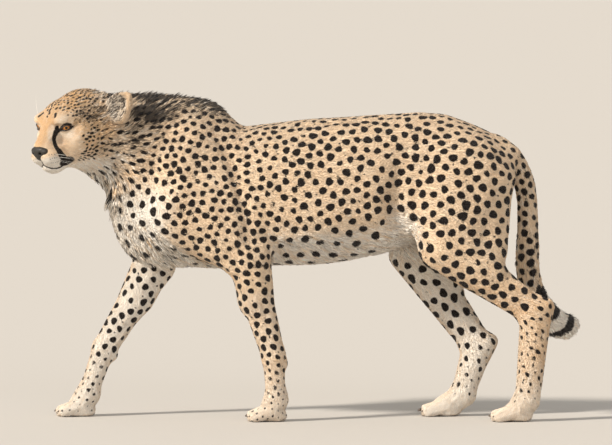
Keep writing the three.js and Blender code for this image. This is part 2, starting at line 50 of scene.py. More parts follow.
# ------------------------------------------------------------------ skin
# One hide over head, body, legs and tail, with no seam. It lies under the tips of the coat by the
# coat's own depth, which is least on the ears and feet and most on the neck and tail.

MM = 0.001


def points_of(mesh):
    """Every vertex of a mesh, as rows of x, y, z in metres."""
    places = np.empty(len(mesh.vertices) * 3, np.float32)
    mesh.vertices.foreach_get("co", places)
    return places.reshape(-1, 3).astype(float)


def move_points(mesh, places):
    mesh.vertices.foreach_set("co", np.ascontiguousarray(places, np.float32).ravel())
    mesh.update()


def normals_of(mesh):
    """The outward direction at every vertex."""
    outward = np.empty(len(mesh.vertices) * 3, np.float32)
    mesh.vertex_normals.foreach_get("vector", outward)
    return outward.reshape(-1, 3).astype(float)


def edges_of(mesh):
    ends = np.empty(len(mesh.edges) * 2, np.int32)
    mesh.edges.foreach_get("vertices", ends)
    return ends.reshape(-1, 2)


def unit(vectors):
    return vectors / np.maximum(np.linalg.norm(vectors, axis=-1, keepdims=True), 1e-12)


def ramp(value, low, high):
    """0 at low, 1 at high and a smooth rise between. It falls instead where low is above high."""
    t = np.clip((value - low) / (high - low), 0, 1)
    return t * t * (3 - 2 * t)


class Neighbours:
    """Averages a quantity over each vertex's neighbours."""

    def __init__(self, mesh):
        ends = edges_of(mesh)
        self.here = np.concatenate([ends[:, 0], ends[:, 1]])
        self.there = np.concatenate([ends[:, 1], ends[:, 0]])
        self.size = len(mesh.vertices)
        self.count = np.maximum(np.bincount(self.here, minlength=self.size), 1)

    def mean(self, quantity):
        if quantity.ndim == 1:
            return np.bincount(self.here, quantity[self.there], self.size) / self.count
        return np.stack([self.mean(column) for column in quantity.T], 1)

    def smooth(self, quantity, rounds, strength=1.0):
        for _ in range(rounds):
            quantity = quantity + strength * (self.mean(quantity) - quantity)
        return quantity


# What is not flesh keeps a piece of its own. The eyeballs join the hide only to fill their sockets.
bare = [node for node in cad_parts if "nose" in node or "claw" in node]
flesh = [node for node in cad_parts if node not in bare]

# How each part of the body wears its coat: depth the hide lies under the hair tips, hair length and
# tuft width in mm, how far the tufts stand off in degrees, and how far the hide is smoothed, in mm.
COAT = {
    #             depth length width lift smooth
    "head":         (1.8,  6.5, 0.80, 9, 0.34),
    "ear":          (0.6,  6.0, 0.80, 12, 0.10),
    "neck":         (4.0, 16.0, 1.20, 12, 1.00),
    "trunk":        (2.4,  9.5, 1.05, 6, 1.00),
    "tail_base":    (2.8, 11.0, 1.10, 8, 0.90),
    "tail_middle":  (3.6, 13.0, 1.20, 12, 0.80),
    "tail_tip":     (5.0, 20.0, 1.40, 17, 0.70),
    "upper_arm":    (2.4,  9.0, 1.05, 6, 1.00),
    "forearm":      (2.0,  8.0, 1.00, 6, 0.60),
    "wrist":        (1.5,  6.5, 0.90, 7, 0.45),
    "foreleg_paw":  (1.1,  5.0, 0.85, 7, 0.12),
    "thigh":        (2.4,  9.5, 1.05, 6, 1.00),
    "shank":        (2.0,  8.5, 1.00, 6, 0.70),
    "hind_foot":    (1.6,  7.0, 0.95, 7, 0.50),
    "hindleg_paw":  (1.1,  5.0, 0.85, 7, 0.12),
}
PARTS = list(COAT)
coat_table = np.array([COAT[part] for part in PARTS])
VOXEL = 3.0  # mesh size of the hide in mm
CUT_SWELL = 0.9 * MM  # closes the thin cuts between the solids
WELD = 1e-6  # metres within which loose corners are one


def part_of(node):
    """The row of COAT that a CAD node belongs to. An eyeball counts as head."""
    return "head" if "eye" in node else max((part for part in COAT if part in node), key=len)


def joined_flesh():
    """All the flesh in one mesh, each piece swollen until it closes the cut to its neighbour."""
    copies = []
    for node in flesh:
        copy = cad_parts[node].copy()
        copy.data = copy.data.copy()
        copy.parent = None
        bpy.context.scene.collection.objects.link(copy)
        shape = bmesh.new()
        shape.from_mesh(copy.data)
        bmesh.ops.remove_doubles(shape, verts=shape.verts, dist=WELD)
        shape.normal_update()
        for vertex in shape.verts:
            vertex.co += vertex.normal * CUT_SWELL * min(vertex.calc_shell_factor(), 1.6)
        shape.to_mesh(copy.data)
        shape.free()
        copies.append(copy)
    for copy in copies:
        copy.select_set(True)
    bpy.context.view_layer.objects.active = copies[0]
    bpy.ops.object.join()
    return bpy.context.view_layer.objects.active


def keep_largest(thing):
    """Deletes every loose shell but the largest, such as the bubbles left where two pieces met."""
    ends = edges_of(thing.data)
    label = np.arange(len(thing.data.vertices))
    settled = False
    while not settled:
        low = np.minimum(label[ends[:, 0]], label[ends[:, 1]])
        new = label.copy()
        np.minimum.at(new, ends[:, 0], low)
        np.minimum.at(new, ends[:, 1], low)
        new = new[new]
        settled = (new == label).all()
        label = new
    biggest = np.bincount(label).argmax()
    shape = bmesh.new()
    shape.from_mesh(thing.data)
    shape.verts.ensure_lookup_table()
    loose = [shape.verts[i] for i in np.nonzero(label != biggest)[0]]
    bmesh.ops.delete(shape, geom=loose, context="VERTS")
    shape.to_mesh(thing.data)
    shape.free()


def search_tree(nodes):
    """The triangles of some CAD nodes as one search tree, and the node that each belongs to."""
    corners, faces, owners = [], [], []
    for node in nodes:
        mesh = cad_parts[node].data
        start = len(corners)
        corners += [vertex.co.copy() for vertex in mesh.vertices]
        faces += [[start + i for i in face.vertices] for face in mesh.polygons]
        owners += [node] * len(mesh.polygons)
    return BVHTree.FromPolygons(corners, faces), owners


flesh_tree, flesh_owner = search_tree(flesh)
NODES = sorted(set(flesh_owner))
owner_number = np.array([NODES.index(node) for node in flesh_owner])
part_number = np.array([PARTS.index(part_of(node)) for node in NODES])


def nodes_at(places):
    """The CAD node that each place lies nearest to, as its number in NODES."""
    return owner_number[[flesh_tree.find_nearest(place)[2] for place in places.tolist()]]


def in_parts(numbers, *words):
    """True where the CAD node's name holds any of the words."""
    holds = np.array([any(word in node for word in words) for node in NODES])
    return holds[numbers]


skin = joined_flesh()
skin.name = "skin"
skin.data.name = "skin"
skin.data.remesh_voxel_size = VOXEL * MM
bpy.ops.object.voxel_remesh()
keep_largest(skin)

places = points_of(skin.data)
around = Neighbours(skin.data)
wear = around.smooth(coat_table[part_number[nodes_at(places)]], 10)
hide_depth, smooth_over = wear[:, :1], wear[:, 4]
# A round of averaging over neighbours spreads a shape by half the square of the mesh's spacing.
PULL = 0.8
rounds_wanted = 2 * smooth_over ** 2 / (PULL * VOXEL ** 2)
for done in range(int(rounds_wanted.max()) + 1):
    strength = np.clip(rounds_wanted - done, 0, 1)[:, None] * PULL
    places += strength * (around.mean(places) - places)
    if done == 2:
        move_points(skin.data, places)
        places -= normals_of(skin.data) * hide_depth * MM
move_points(skin.data, places)


# ------------------------------------------------------------------ the head's own frame
# The head turns to its left and dips. Its frame is in mm: x forward, y to its left and z up, with
# the origin on top of the nose, so that both sides of the face share every size.

def middle(node):
    low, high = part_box(node)
    return np.array((low + high) / 2)


DIP = math.radians(15)
EYE_AT = np.array([-70.0, 38.0, 34.0])
EYE_RADIUS = 16.5
eye_to_eye = unit(middle("left_eye") - middle("right_eye"))
level = np.cross(eye_to_eye, (0, 0, 1))
head_axes = np.stack([
    level * math.cos(DIP) - np.array((0, 0, math.sin(DIP))),
    eye_to_eye,
    level * math.sin(DIP) + np.array((0, 0, math.cos(DIP))),
], 1)
between_eyes = (middle("left_eye") + middle("right_eye")) / 2
nose_top = between_eyes - head_axes @ (EYE_AT * (1, 0, 1)) * MM


def to_head(places):
    """Places in metres as places in the head's frame, in mm."""
    return (places - nose_top) @ head_axes / MM


def from_head(places):
    """Places in the head's frame as places in metres."""
    return np.asarray(places, float) @ head_axes.T * MM + nose_top


def mirrored(spots):
    """The same places with both sides of the face laid on the left."""
    return spots * (1, 0, 1) + np.abs(spots) * (0, 1, 0)


# ------------------------------------------------------------------ finer face, lighter body
# Lids and lips are folds a millimetre or two across, while the broad muscles under the coat change
# slowly. The hide's mesh follows: half the spacing on the face, and far fewer faces on the body.

FACE_BACK = -100.0  # how far back along the head lids and lips are shaped
HEAD_BACK = -112.0  # and how far back its fine mesh is kept
BODY_TRIANGLES = 92000


def tree_of_faces(mesh, corners):
    """A search tree of a mesh's faces, with its corners at the given places."""
    return BVHTree.FromPolygons(corners.tolist(), [tuple(p.vertices) for p in mesh.polygons])


def thin_the_body():
    """Thins the mesh evenly behind the face, all but ears and paws.

    It is roughened first, so that flat places are not thinned most, and laid back on the smooth
    hide afterwards.
    """
    spots = to_head(places)
    numbers = nodes_at(places)
    keep = in_parts(numbers, "head") & (spots[:, 0] > HEAD_BACK) | in_parts(numbers, "ear", "paw")
    fine_tree = tree_of_faces(skin.data, places)
    roughen = np.random.default_rng(3).normal(0, 0.5 * MM, len(places)) * ~keep
    move_points(skin.data, places + normals_of(skin.data) * roughen[:, None])
    group = skin.vertex_groups.new(name="thin")
    group.add(np.nonzero(~keep)[0].tolist(), 1.0, "REPLACE")
    kept_faces = 2 * keep.sum()
    modifier = skin.modifiers.new("thin", "DECIMATE")
    modifier.vertex_group = "thin"
    modifier.ratio = (kept_faces + BODY_TRIANGLES) / (2 * len(places))
    bpy.ops.object.modifier_apply(modifier=modifier.name)
    skin.vertex_groups.clear()
    thinned = points_of(skin.data).tolist()
    move_points(skin.data, np.array([fine_tree.find_nearest(place)[0] for place in thinned]))


def refine_the_face():
    """Halves the mesh spacing round the eyes and on the muzzle."""
    shape = bmesh.new()
    shape.from_mesh(skin.data)
    shape.verts.ensure_lookup_table()
    spots = to_head(points_of(skin.data))
    from_eye = np.linalg.norm(mirrored(spots) - EYE_AT, axis=1)
    fine = (spots[:, 0] > -50) & (spots[:, 2] > -72) & (np.abs(spots[:, 1]) < 60) | (from_eye < 29)
    fine &= spots[:, 0] < 30
    edges = [edge for edge in shape.edges if all(fine[end.index] for end in edge.verts)]
    bmesh.ops.subdivide_edges(shape, edges=edges, cuts=1, use_grid_fill=True)
    shape.to_mesh(skin.data)
    shape.free()


thin_the_body()
refine_the_face()


# ------------------------------------------------------------------ lids, lips and furrows
# Folds that the solids leave out: lids wrapped on the eyeballs, the split upper lip, the line of
# the mouth, and the furrows where legs fold against the trunk.

places = points_of(skin.data)
around = Neighbours(skin.data)
spots = to_head(places)
face = mirrored(spots)
numbers = nodes_at(places)
on_head = in_parts(numbers, "head", "eye") & (spots[:, 0] < 30)
near_face = on_head & (spots[:, 0] > FACE_BACK)

# The opening between the lids, in mm, seen along the axis of the eye socket: an almond with a
# drawn-out inner corner. u runs to the inner corner and v up.
ORBIT_AXIS = unit(np.array([0.69, 0.72, 0.08]))
ORBIT_IN = unit(np.cross(np.array([0.0, 0.0, 1.0]), ORBIT_AXIS)) * -1
ORBIT_UP = np.cross(ORBIT_IN, ORBIT_AXIS)
LID_OUT, LID_IN = -14.2, 14.6
LID_RADIUS = EYE_RADIUS + 1.1


def lid_heights(u):
    """The edges of the lower and the upper lid above the socket's axis."""
    t = np.clip((u - LID_OUT) / (LID_IN - LID_OUT), 0, 1)
    base = -1.6 - 2.4 * t ** 2
    full = np.sin(np.pi * t ** 0.86)
    return base - 4.4 * full ** 0.9, base + 6.6 * full ** 0.8


def orbit_view(face_places):
    """Distance from the eye's centre, and the direction as u, v on the lids' sphere and depth."""
    away = face_places - EYE_AT
    distance = np.linalg.norm(away, axis=1)
    direction = unit(away)
    u = direction @ ORBIT_IN * LID_RADIUS
    v = direction @ ORBIT_UP * LID_RADIUS
    return distance, u, v, direction @ ORBIT_AXIS


def lid_margin(face_places):
    """How far outside the opening between the lids each place lies, in mm; below 0 inside it."""
    distance, u, v, ahead = orbit_view(face_places)
    low, high = lid_heights(u)
    over = np.maximum(np.maximum(low - v, v - high), np.maximum(LID_OUT - u, u - LID_IN))
    return np.where((ahead > 0.1) & (distance < 45), over, 60.0)


def wrap_lids():
    """The hide laid round each eyeball, and sunk behind its front in the opening between lids."""
    distance, _, _, ahead = orbit_view(face)
    margin = lid_margin(face)
    near = near_face & (distance < 40) & (ahead > -0.2)
    hug = (1 - ramp(margin, 0.0, 13.0)) * ramp(ahead, -0.1, 0.3)
    lid = distance * (1 - hug) + (LID_RADIUS + 0.2) * hug
    lid += ramp(ahead, -0.1, 0.4) * np.maximum(LID_RADIUS - lid, 0)
    radius = np.where(margin < 0.3, EYE_RADIUS - 4.5, lid)
    moved = EYE_AT + unit(face - EYE_AT) * radius[:, None]
    moved[:, 1] *= np.where(spots[:, 1] < 0, -1, 1)
    return np.where(near[:, None], moved, spots)


def along_line(line, places_there):
    """Distance to a line through points, and how far along it the nearest place is, from 0 to 1."""
    line = np.asarray(line, float)
    best = np.full(len(places_there), 1e9)
    share = np.zeros(len(places_there))
    lengths = np.linalg.norm(np.diff(line, axis=0), axis=1)
    starts = np.concatenate([[0], np.cumsum(lengths)])
    for i, (a, b) in enumerate(zip(line[:-1], line[1:])):
        t = np.clip((places_there - a) @ (b - a) / lengths[i] ** 2, 0, 1)
        gap = np.linalg.norm(places_there - (a + t[:, None] * (b - a)), axis=1)
        closer = gap < best
        best[closer] = gap[closer]
        share[closer] = (starts[i] + t[closer] * lengths[i]) / starts[-1]
    return best, share


def groove(target, where, line, width, depth):
    """Presses a furrow into target along a line; a negative depth raises a ridge."""
    gap, share = along_line(line, where)
    ends = np.sin(np.pi * np.clip(share * 0.86 + 0.07, 0, 1)) ** 0.5
    target -= depth * ends * np.exp(-(gap / width) ** 2)


TEAR_LINE = [(-56, 28, 32), (-49, 25, 27), (-44, 21.5, 18), (-42.5, 19.5, 11), (-40, 21.5, 2),
             (-37.5, 26.5, -6), (-38, 31, -14), (-43, 33, -24), (-50, 34, -35)]
MOUTH_LINE = [(-12, 0, -41), (-15, 8, -47), (-22, 16, -52), (-33, 22, -55), (-48, 27, -53),
              (-62, 32, -48), (-73, 35, -42)]
LIP_SPLIT = [(-9, 0, -22), (-10, 0, -32), (-12, 0, -41)]
NOSTRIL_FOLD = [(-14, 26, -2), (-20, 27, -12), (-20, 26, -20)]

spots = wrap_lids()
face = mirrored(spots)
face_tree = tree_of_faces(skin.data, spots)


def on_hide(line, step=2.0, below=0.0):
    """A line's points brought onto the hide, or a little below it, about a step apart, in mm."""
    line = np.asarray(line, float)
    starts = np.concatenate([[0], np.cumsum(np.linalg.norm(np.diff(line, axis=0), axis=1))])
    shares = np.linspace(0, starts[-1], max(2, round(starts[-1] / step)))
    points = np.stack([np.interp(shares, starts, line[:, k]) for k in range(3)], 1)
    found = [face_tree.find_nearest(point)[:2] for point in points.tolist()]
    spot, facing = (np.array([pair[k] for pair in found]) for k in (0, 1))
    facing *= np.sign((facing * (spot - (-90, 0, 10))).sum(1, keepdims=True))
    return spot - below * facing


TEAR_LINE, MOUTH_LINE, LIP_SPLIT = (on_hide(line) for line in (TEAR_LINE, MOUTH_LINE, LIP_SPLIT))
sink = np.zeros(len(places))
groove(sink, face, MOUTH_LINE, 2.2, 4.4)
groove(sink, face, LIP_SPLIT, 1.7, 2.6)
groove(sink, face, on_hide([(-24, 0, -60), (-28, 12, -62), (-34, 20, -62)]), 11.0, 4.5)  # the chin
groove(sink, face, NOSTRIL_FOLD, 2.6, 1.3)
groove(sink, face, TEAR_LINE, 5.0, 0.8)
groove(sink, face, [(-30, 14, -34), (-24, 20, -24), (-30, 26, -18)], 8.0, -2.2)  # the whisker pad
groove(sink, face, [(-66, 56, 53), (-58, 42, 57), (-52, 28, 52)], 6.0, -1.6)  # the brow
sink *= near_face
places = np.where(near_face[:, None], from_head(spots), places)
move_points(skin.data, places)
places += normals_of(skin.data) * (sink * MM)[:, None]
move_points(skin.data, places)

# The hide is sunk under the nose leather.
NOSE_SINK = 1.8 * MM
nose_tree, _ = search_tree(["nose"])
on_nose = np.zeros(len(places), bool)
for i in np.nonzero(near_face)[0]:
    spot, facing, _, gap = nose_tree.find_nearest(places[i])
    if gap < 6 * MM:
        height = (Vector(places[i]) - spot).dot(facing)
        on_nose[i] = height < 1.2 * MM or gap < 1.6 * MM
        if on_nose[i] and height > -NOSE_SINK:
            places[i] += np.array(facing) * (-NOSE_SINK - height)
move_points(skin.data, places)
relax = near_face & ~on_nose & (lid_margin(mirrored(to_head(places))) > 1.2)
for _ in range(3):
    places += 0.35 * relax[:, None] * (around.mean(places) - places)
move_points(skin.data, places)

# The forehead slopes up to the crown in nearly a straight line.
FOREHEAD = [(-118, -52, 70), (-124, -28, 88), (-127, 0, 93), (-124, 28, 88), (-118, 52, 70)]
sink = np.zeros(len(places))
groove(sink, to_head(places), FOREHEAD, 31, 7.2)
places += normals_of(skin.data) * (sink * MM)[:, None]

# Each ear narrows from a broad base to a rounded tip.
EARS = {"left_ear": 1, "right_ear": -1}
for ear, reach in EARS.items():
    shell = points_of(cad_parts[ear].data)
    base = from_head((-171, 83 * reach, 29))
    tall_way = unit(shell.mean(0) - base)
    flat_way = np.linalg.svd(shell - shell.mean(0), full_matrices=False)[2][2]
    wide_way = unit(np.cross(tall_way, flat_way))
    up_ear = (places - base) @ tall_way / ((shell - base) @ tall_way).max()
    own = around.smooth(in_parts(numbers, ear).astype(float), 3) * ramp(up_ear, 0.0, 0.3)
    aside = (places - base) @ wide_way
    places += wide_way * (aside * own * -0.75 * (up_ear - 0.42))[:, None]
    places += tall_way * (own * up_ear * 4 * MM)[:, None]
move_points(skin.data, places)

# Furrows and ridges of the body, as x and z in mm, seen from the side: where each line runs, its
# width and its depth, which is below 0 for a ridge.
BODY_LINES = [
    ([(-212, 668), (-172, 596), (-147, 504), (-131, 412)], 12, 15.0),   # behind the upper arm
    ([(-296, 692), (-338, 619), (-361, 538), (-356, 458)], 17, 6.0),    # neck to shoulder
    ([(-255, 706), (-269, 619), (-296, 527), (-326, 469)], 12, -4.5),   # shoulder blade
    ([(-230, 560), (-215, 500), (-205, 430)], 16, -4.0),                # triceps
    ([(219, 619), (205, 538), (196, 453), (214, 412)], 16, 8.0),        # flank
    ([(274, 688), (309, 619), (336, 527)], 18, -4.0),                   # hip
    ([(437, 619), (426, 504), (398, 412), (370, 361)], 11, 4.5),        # hamstring
    ([(-103, 423), (-16, 400), (76, 405), (150, 439)], 15, 5.0),        # edge of the ribs
    ([(-131, 354), (-103, 274), (-89, 205)], 7, 2.6),                   # forearm
    ([(283, 361), (329, 297), (398, 251)], 8, 3.0),                     # shank
]
for i in range(7):  # the ribs
    rib = [(-90 + 34 * i, 610 - 6 * i), (-70 + 34 * i, 540), (-66 + 34 * i, 455)]
    BODY_LINES.append((rib, 8, 1.5))
outward = normals_of(skin.data)
from_side = places / MM * (1, 0, 1)
muscled = in_parts(numbers, "trunk", "neck", "upper", "thigh", "fore", "shank")
sideways = ramp(np.abs(outward[:, 1]), 0.25, 0.7) * muscled
sink = np.zeros(len(places))
for line, width, depth in BODY_LINES:
    groove(sink, from_side, [(x, 0, z) for x, z in line], width, depth)
sink = around.smooth(sink * sideways * (places[:, 1] < 0.30), 2)
places += outward * (sink * MM)[:, None]
move_points(skin.data, places)

for polygon in skin.data.polygons:
    polygon.use_smooth = True


# ------------------------------------------------------------------ the lie of the coat
# Hair lies away from the nose: back over the head and trunk, down the legs and out along the tail.
# Its direction is the way in which the distance from the nose, measured over the hide, grows.

def faces_of(mesh):
    """Every triangle of a mesh, as rows of three vertex numbers."""
    mesh.calc_loop_triangles()
    corners = np.empty(len(mesh.loop_triangles) * 3, np.int32)
    mesh.loop_triangles.foreach_get("vertices", corners)
    return corners.reshape(-1, 3)


def distance_over(start, places, around):
    """The distance over the hide from one vertex to every other, in metres."""
    order = np.argsort(around.here, kind="stable")
    there = around.there[order]
    steps = np.linalg.norm(places[around.here[order]] - places[there], axis=1).tolist()
    first = np.searchsorted(around.here[order], np.arange(around.size + 1)).tolist()
    there = there.tolist()
    far = [math.inf] * around.size
    far[start] = 0.0
    queue = [(0.0, start)]
    while queue:
        so_far, here = heapq.heappop(queue)
        if so_far > far[here]:
            continue
        for i in range(first[here], first[here + 1]):
            total = so_far + steps[i]
            if total < far[there[i]]:
                far[there[i]] = total
                heapq.heappush(queue, (total, there[i]))
    return np.array(far)


def slope_of(quantity, places, faces):
    """The direction at each vertex in which a quantity grows along the surface."""
    a, b, c = (places[faces[:, i]] for i in range(3))
    across_face = np.cross(b - a, c - a)
    double_area = np.linalg.norm(across_face, axis=1, keepdims=True)
    out = across_face / np.maximum(double_area, 1e-15)
    opposite = (c - b, a - c, b - a)
    grow = sum(quantity[faces[:, i]][:, None] * np.cross(out, opposite[i]) for i in range(3))
    total = np.zeros_like(places)
    for i in range(3):
        for k in range(3):
            total[:, k] += np.bincount(faces[:, i], grow[:, k], len(places))
    return total


def flat_on(vectors, outward):
    """The part of each vector that lies along the surface, at length 1."""
    return unit(vectors - (vectors * outward).sum(1, keepdims=True) * outward)


places = points_of(skin.data)
outward = normals_of(skin.data)
around = Neighbours(skin.data)
faces = faces_of(skin.data)
spots = to_head(places)
face = mirrored(spots)
FLOOR_CLEAR = 0.0003
places[:, 2] = np.maximum(places[:, 2], FLOOR_CLEAR)
move_points(skin.data, places)
numbers = nodes_at(places)
nose_vertex = int(np.argmin(np.linalg.norm(spots - (-2, 0, 0), axis=1)))
from_nose = around.smooth(distance_over(nose_vertex, places, around), 25, 0.8)
lie = flat_on(slope_of(from_nose, places, faces), outward)
for _ in range(14):
    lie = flat_on(around.mean(lie), outward)

# The coat is never combed flat: in patches, the tufts drift a few degrees either way.
dice = np.random.default_rng(71)
drift = around.smooth(dice.normal(size=len(places)), 7)
drift /= drift.std()


# ------------------------------------------------------------------ length and colour of the coat
# Tan above and cream below. Gold washes over the bridge of the nose, the crown and the hocks, and
# smoky dark-brown hair stands along the nape to the withers.

ON_TRUNK = in_parts(numbers, "trunk")
ON_NECK = in_parts(numbers, "neck")
ON_HEAD = in_parts(numbers, "head", "eye")
ON_LEG = in_parts(numbers, "foreleg", "hindleg")
ON_TAIL = in_parts(numbers, "tail")
x, y, z = places.T
out_x, out_y, out_z = outward.T
inward = -out_y * np.sign(y)  # 1 on the inner face of a leg


def glow(where, centre, radii, soft=0.6):
    """1 inside an ellipsoid about centre, fading to 0 over soft of its radius."""
    reach = np.linalg.norm((where - np.asarray(centre, float)) / np.asarray(radii, float), axis=1)
    return 1 - ramp(reach, 1 - soft / 2, 1 + soft / 2)


def most(*amounts):
    return np.maximum.reduce(amounts)


wear = coat_table[part_number[numbers]]
length, width, lift = wear[:, 1].copy(), wear[:, 2].copy(), wear[:, 3].copy()

WITHERS = -0.19
crest_line = np.exp(-(y / 0.048) ** 2) * ramp(out_z, 0.20, 0.7)
nape = crest_line * (ON_NECK | ON_TRUNK) * (1 - ramp(x, WITHERS - 0.03, WITHERS + 0.03))
throat = ramp(-out_z - 0.5 * out_x, 0.15, 0.8) * (x < -0.30) * (z < 0.63) * (ON_NECK | ON_TRUNK)
belly = ramp(-out_z, 0.25, 0.75) * ON_TRUNK * (z < 0.5)
groin = glow(places, (0.215, 0, 0.425), (0.075, 0.12, 0.085))
groin *= ON_TRUNK | in_parts(numbers, "thigh")
ruff = ramp(-face[:, 0], 105, 165) * ramp(-face[:, 2], -45, 15) * ON_HEAD
muzzle = (1 - ramp(-face[:, 0], 50, 80)) * ON_HEAD
front_face = (1 - ramp(-face[:, 0], 85, 130)) * ON_HEAD
length += (15 * nape + 9 * throat + 7 * belly + 8 * groin * (out_z < 0) + 9 * ruff
           - 3.2 * front_face - 1.0 * muzzle)
lift += 16 * nape + 5 * throat + 6 * belly + 6 * ruff
width += 0.3 * throat + 0.5 * ruff - 0.15 * front_face
for _ in range(12):
    length, width, lift = (q + 0.7 * (around.mean(q) - q) for q in (length, width, lift))
near_face = ON_HEAD & (spots[:, 0] > FACE_BACK)
lids = np.where(near_face, lid_margin(face), 60.0)
length *= np.where(ON_HEAD, 0.4 + 0.6 * ramp(lids, 1.0, 12.0), 1)

# Cream: belly, chest, throat, inner legs, chin, muzzle and under the eyes.
flank_pale = 0.45 * ramp(-z, -0.47, -0.39) * ON_TRUNK
on_chest = ON_NECK | ON_TRUNK | in_parts(numbers, "upper_arm")
chest = ramp(-x, 0.285, 0.36) * ramp(-z, -0.575, -0.49) * on_chest
under_neck = ramp(-out_z, 0.0, 0.6) * ON_NECK
inner_leg = ramp(inward, 0.15, 0.75) * ON_LEG * 0.85
low_legs = (0.25 + 0.35 * ramp(-z, -0.16, -0.04)) * ON_LEG * (z < 0.30)
under_eye = glow(face, (-62, 42, 16), (20, 24, 11)) * 0.45
beside_nose = glow(face, (-44, 20, 24), (20, 7, 22)) * 0.5
lip = most(glow(face, (-20, 16, -38), (30, 34, 20), 0.5), glow(face, (-42, 0, -66), (46, 40, 26)))
throat_pale = glow(face, (-120, 30, -84), (52, 70, 40)) * 0.9
brow_pale = glow(face, (-58, 44, 54), (14, 12, 8)) * 0.3
cream = most(belly, flank_pale, 0.95 * chest, under_neck * 0.8, inner_leg, low_legs, groin * 0.9)
cream = most(cream, (most(under_eye, beside_nose, lip, throat_pale, brow_pale)) * ON_HEAD)

# Gold: bridge of the nose, crown, cheeks and lower legs.
bridge = glow(face, (-40, 0, 24), (56, 19, 40)) * 0.5
crown = most(glow(face, (-118, 0, 80), (66, 62, 40)) * 0.65,
             glow(face, (-50, 17, 56), (20, 13, 16)) * 0.6)
cheek_gold = most(glow(face, (-120, 70, 10), (46, 34, 50)) * 0.45,
                  glow(face, (-104, 58, 38), (26, 24, 22)) * 0.5)
hock = (in_parts(numbers, "hind_foot") * (0.35 + 0.4 * ramp(out_x, -0.2, 0.6))
        + in_parts(numbers, "hindleg_paw") * 0.25)
shank_low = in_parts(numbers, "shank") * ramp(-z, -0.34, -0.26) * 0.7
fore_low = in_parts(numbers, "wrist", "foreleg_paw") * 0.35
gold = most(bridge * ON_HEAD, crown * ON_HEAD, cheek_gold * ON_HEAD, hock, shank_low, fore_low)
gold *= 1 - 0.8 * cream

# Smoke: nape, temples, the angle of the jaw and the hollow under and behind each ear. Under and
# behind each ear it is partly dark hair and partly painted shadow that the head casts on the neck.
temple = glow(face, (-124, 64, 46), (44, 26, 28)) * ON_HEAD * 0.42
near_side = places * (1, 0, 1) - np.abs(places) * (0, 1, 0)
# Painted shadow: the neck under and behind each ear is darkened partly for the shadow of the head,
# on both sides.
behind_ear_smoke_and_shadow = glow(near_side, (-0.360, -0.075, 0.700), (0.055, 0.060, 0.020)) * ON_NECK * 0.85
under_ear_smoke_and_shadow = glow(near_side, (-0.395, -0.100, 0.652), (0.030, 0.050, 0.040)) * 0.45
under_ear_smoke_and_shadow *= ON_NECK | ON_HEAD
jaw = glow(face, (-128, 58, -28), (30, 30, 26)) * ON_HEAD * 0.4
over_neck = 0.20 * ON_NECK * ramp(out_z, -0.2, 0.7)
smoke_and_shadow = most(nape * 0.92, behind_ear_smoke_and_shadow, 0.16 * throat, 0.2 * ruff, under_ear_smoke_and_shadow, jaw, temple, over_neck)

# Longer hair stands in one dark tuft on the throat, round the ears and at the back of the crown.
dark_tuft = glow(places, (-0.438, -0.036, 0.518), (0.020, 0.024, 0.020))
length += 16 * dark_tuft
lift += 12 * dark_tuft
from_ear = np.linalg.norm(face - (-168, 78, 34), axis=1)
ear_base = (1 - ramp(from_ear, 30, 62)) * (ON_HEAD | ON_NECK)
crown_back = glow(face, (-192, 18, 78), (26, 40, 22)) * ON_HEAD
length += 8 * ear_base + 5 * crown_back
lift += 13 * ear_base + 14 * crown_back

# The cup of each ear is lined with grey-white hair; its back is dark below a pale tip.
for ear, reach in EARS.items():
    own = in_parts(numbers, ear)
    shell = points_of(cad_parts[ear].data)
    spread = np.linalg.svd(shell - shell.mean(0), full_matrices=False)[2]
    opening = spread[2] * np.sign(spread[2] @ (head_axes @ np.array((0.6, 0.6 * reach, 0.2))))
    from_middle = np.linalg.norm((places - shell.mean(0)) @ spread[:2].T, axis=1)
    to_edge = from_middle / np.ptp(shell @ spread[0]) * 2
    cup = ramp(outward @ opening, 0.2, 0.6) * (1 - ramp(to_edge, 0.72, 0.9)) * own
    back = ramp(-outward @ opening, 0.1, 0.5) * (1 - ramp(to_edge, 0.55, 0.8)) * own
    cream = np.where(own, 0.15 + 0.4 * cup, cream)
    smoke_and_shadow = np.where(own, most(0.12 + 0.36 * cup, 0.95 * back), smoke_and_shadow)
    gold = np.where(own, 0.35 * (1 - cup) * (1 - back), gold)
    length = np.where(own, 5.0 + 7 * cup, length)
    lift = np.where(own, 12 + 12 * cup, lift)

loose = most(nape, throat, belly, groin, ruff, 0.7 * ON_NECK, 0.6 * ON_TAIL).astype(float)
blend = [around.smooth(q.astype(float), 6, 0.8) for q in (cream, gold, smoke_and_shadow, length, width, lift)]
cream, gold, smoke_and_shadow, length, width, lift = blend


# ------------------------------------------------------------------ spots
# Solid near-black spots, each a rounded blot drawn out a little along the lie of the coat. They are
# largest on the rump and flank, and dwindle to dots on the face, feet and spine.

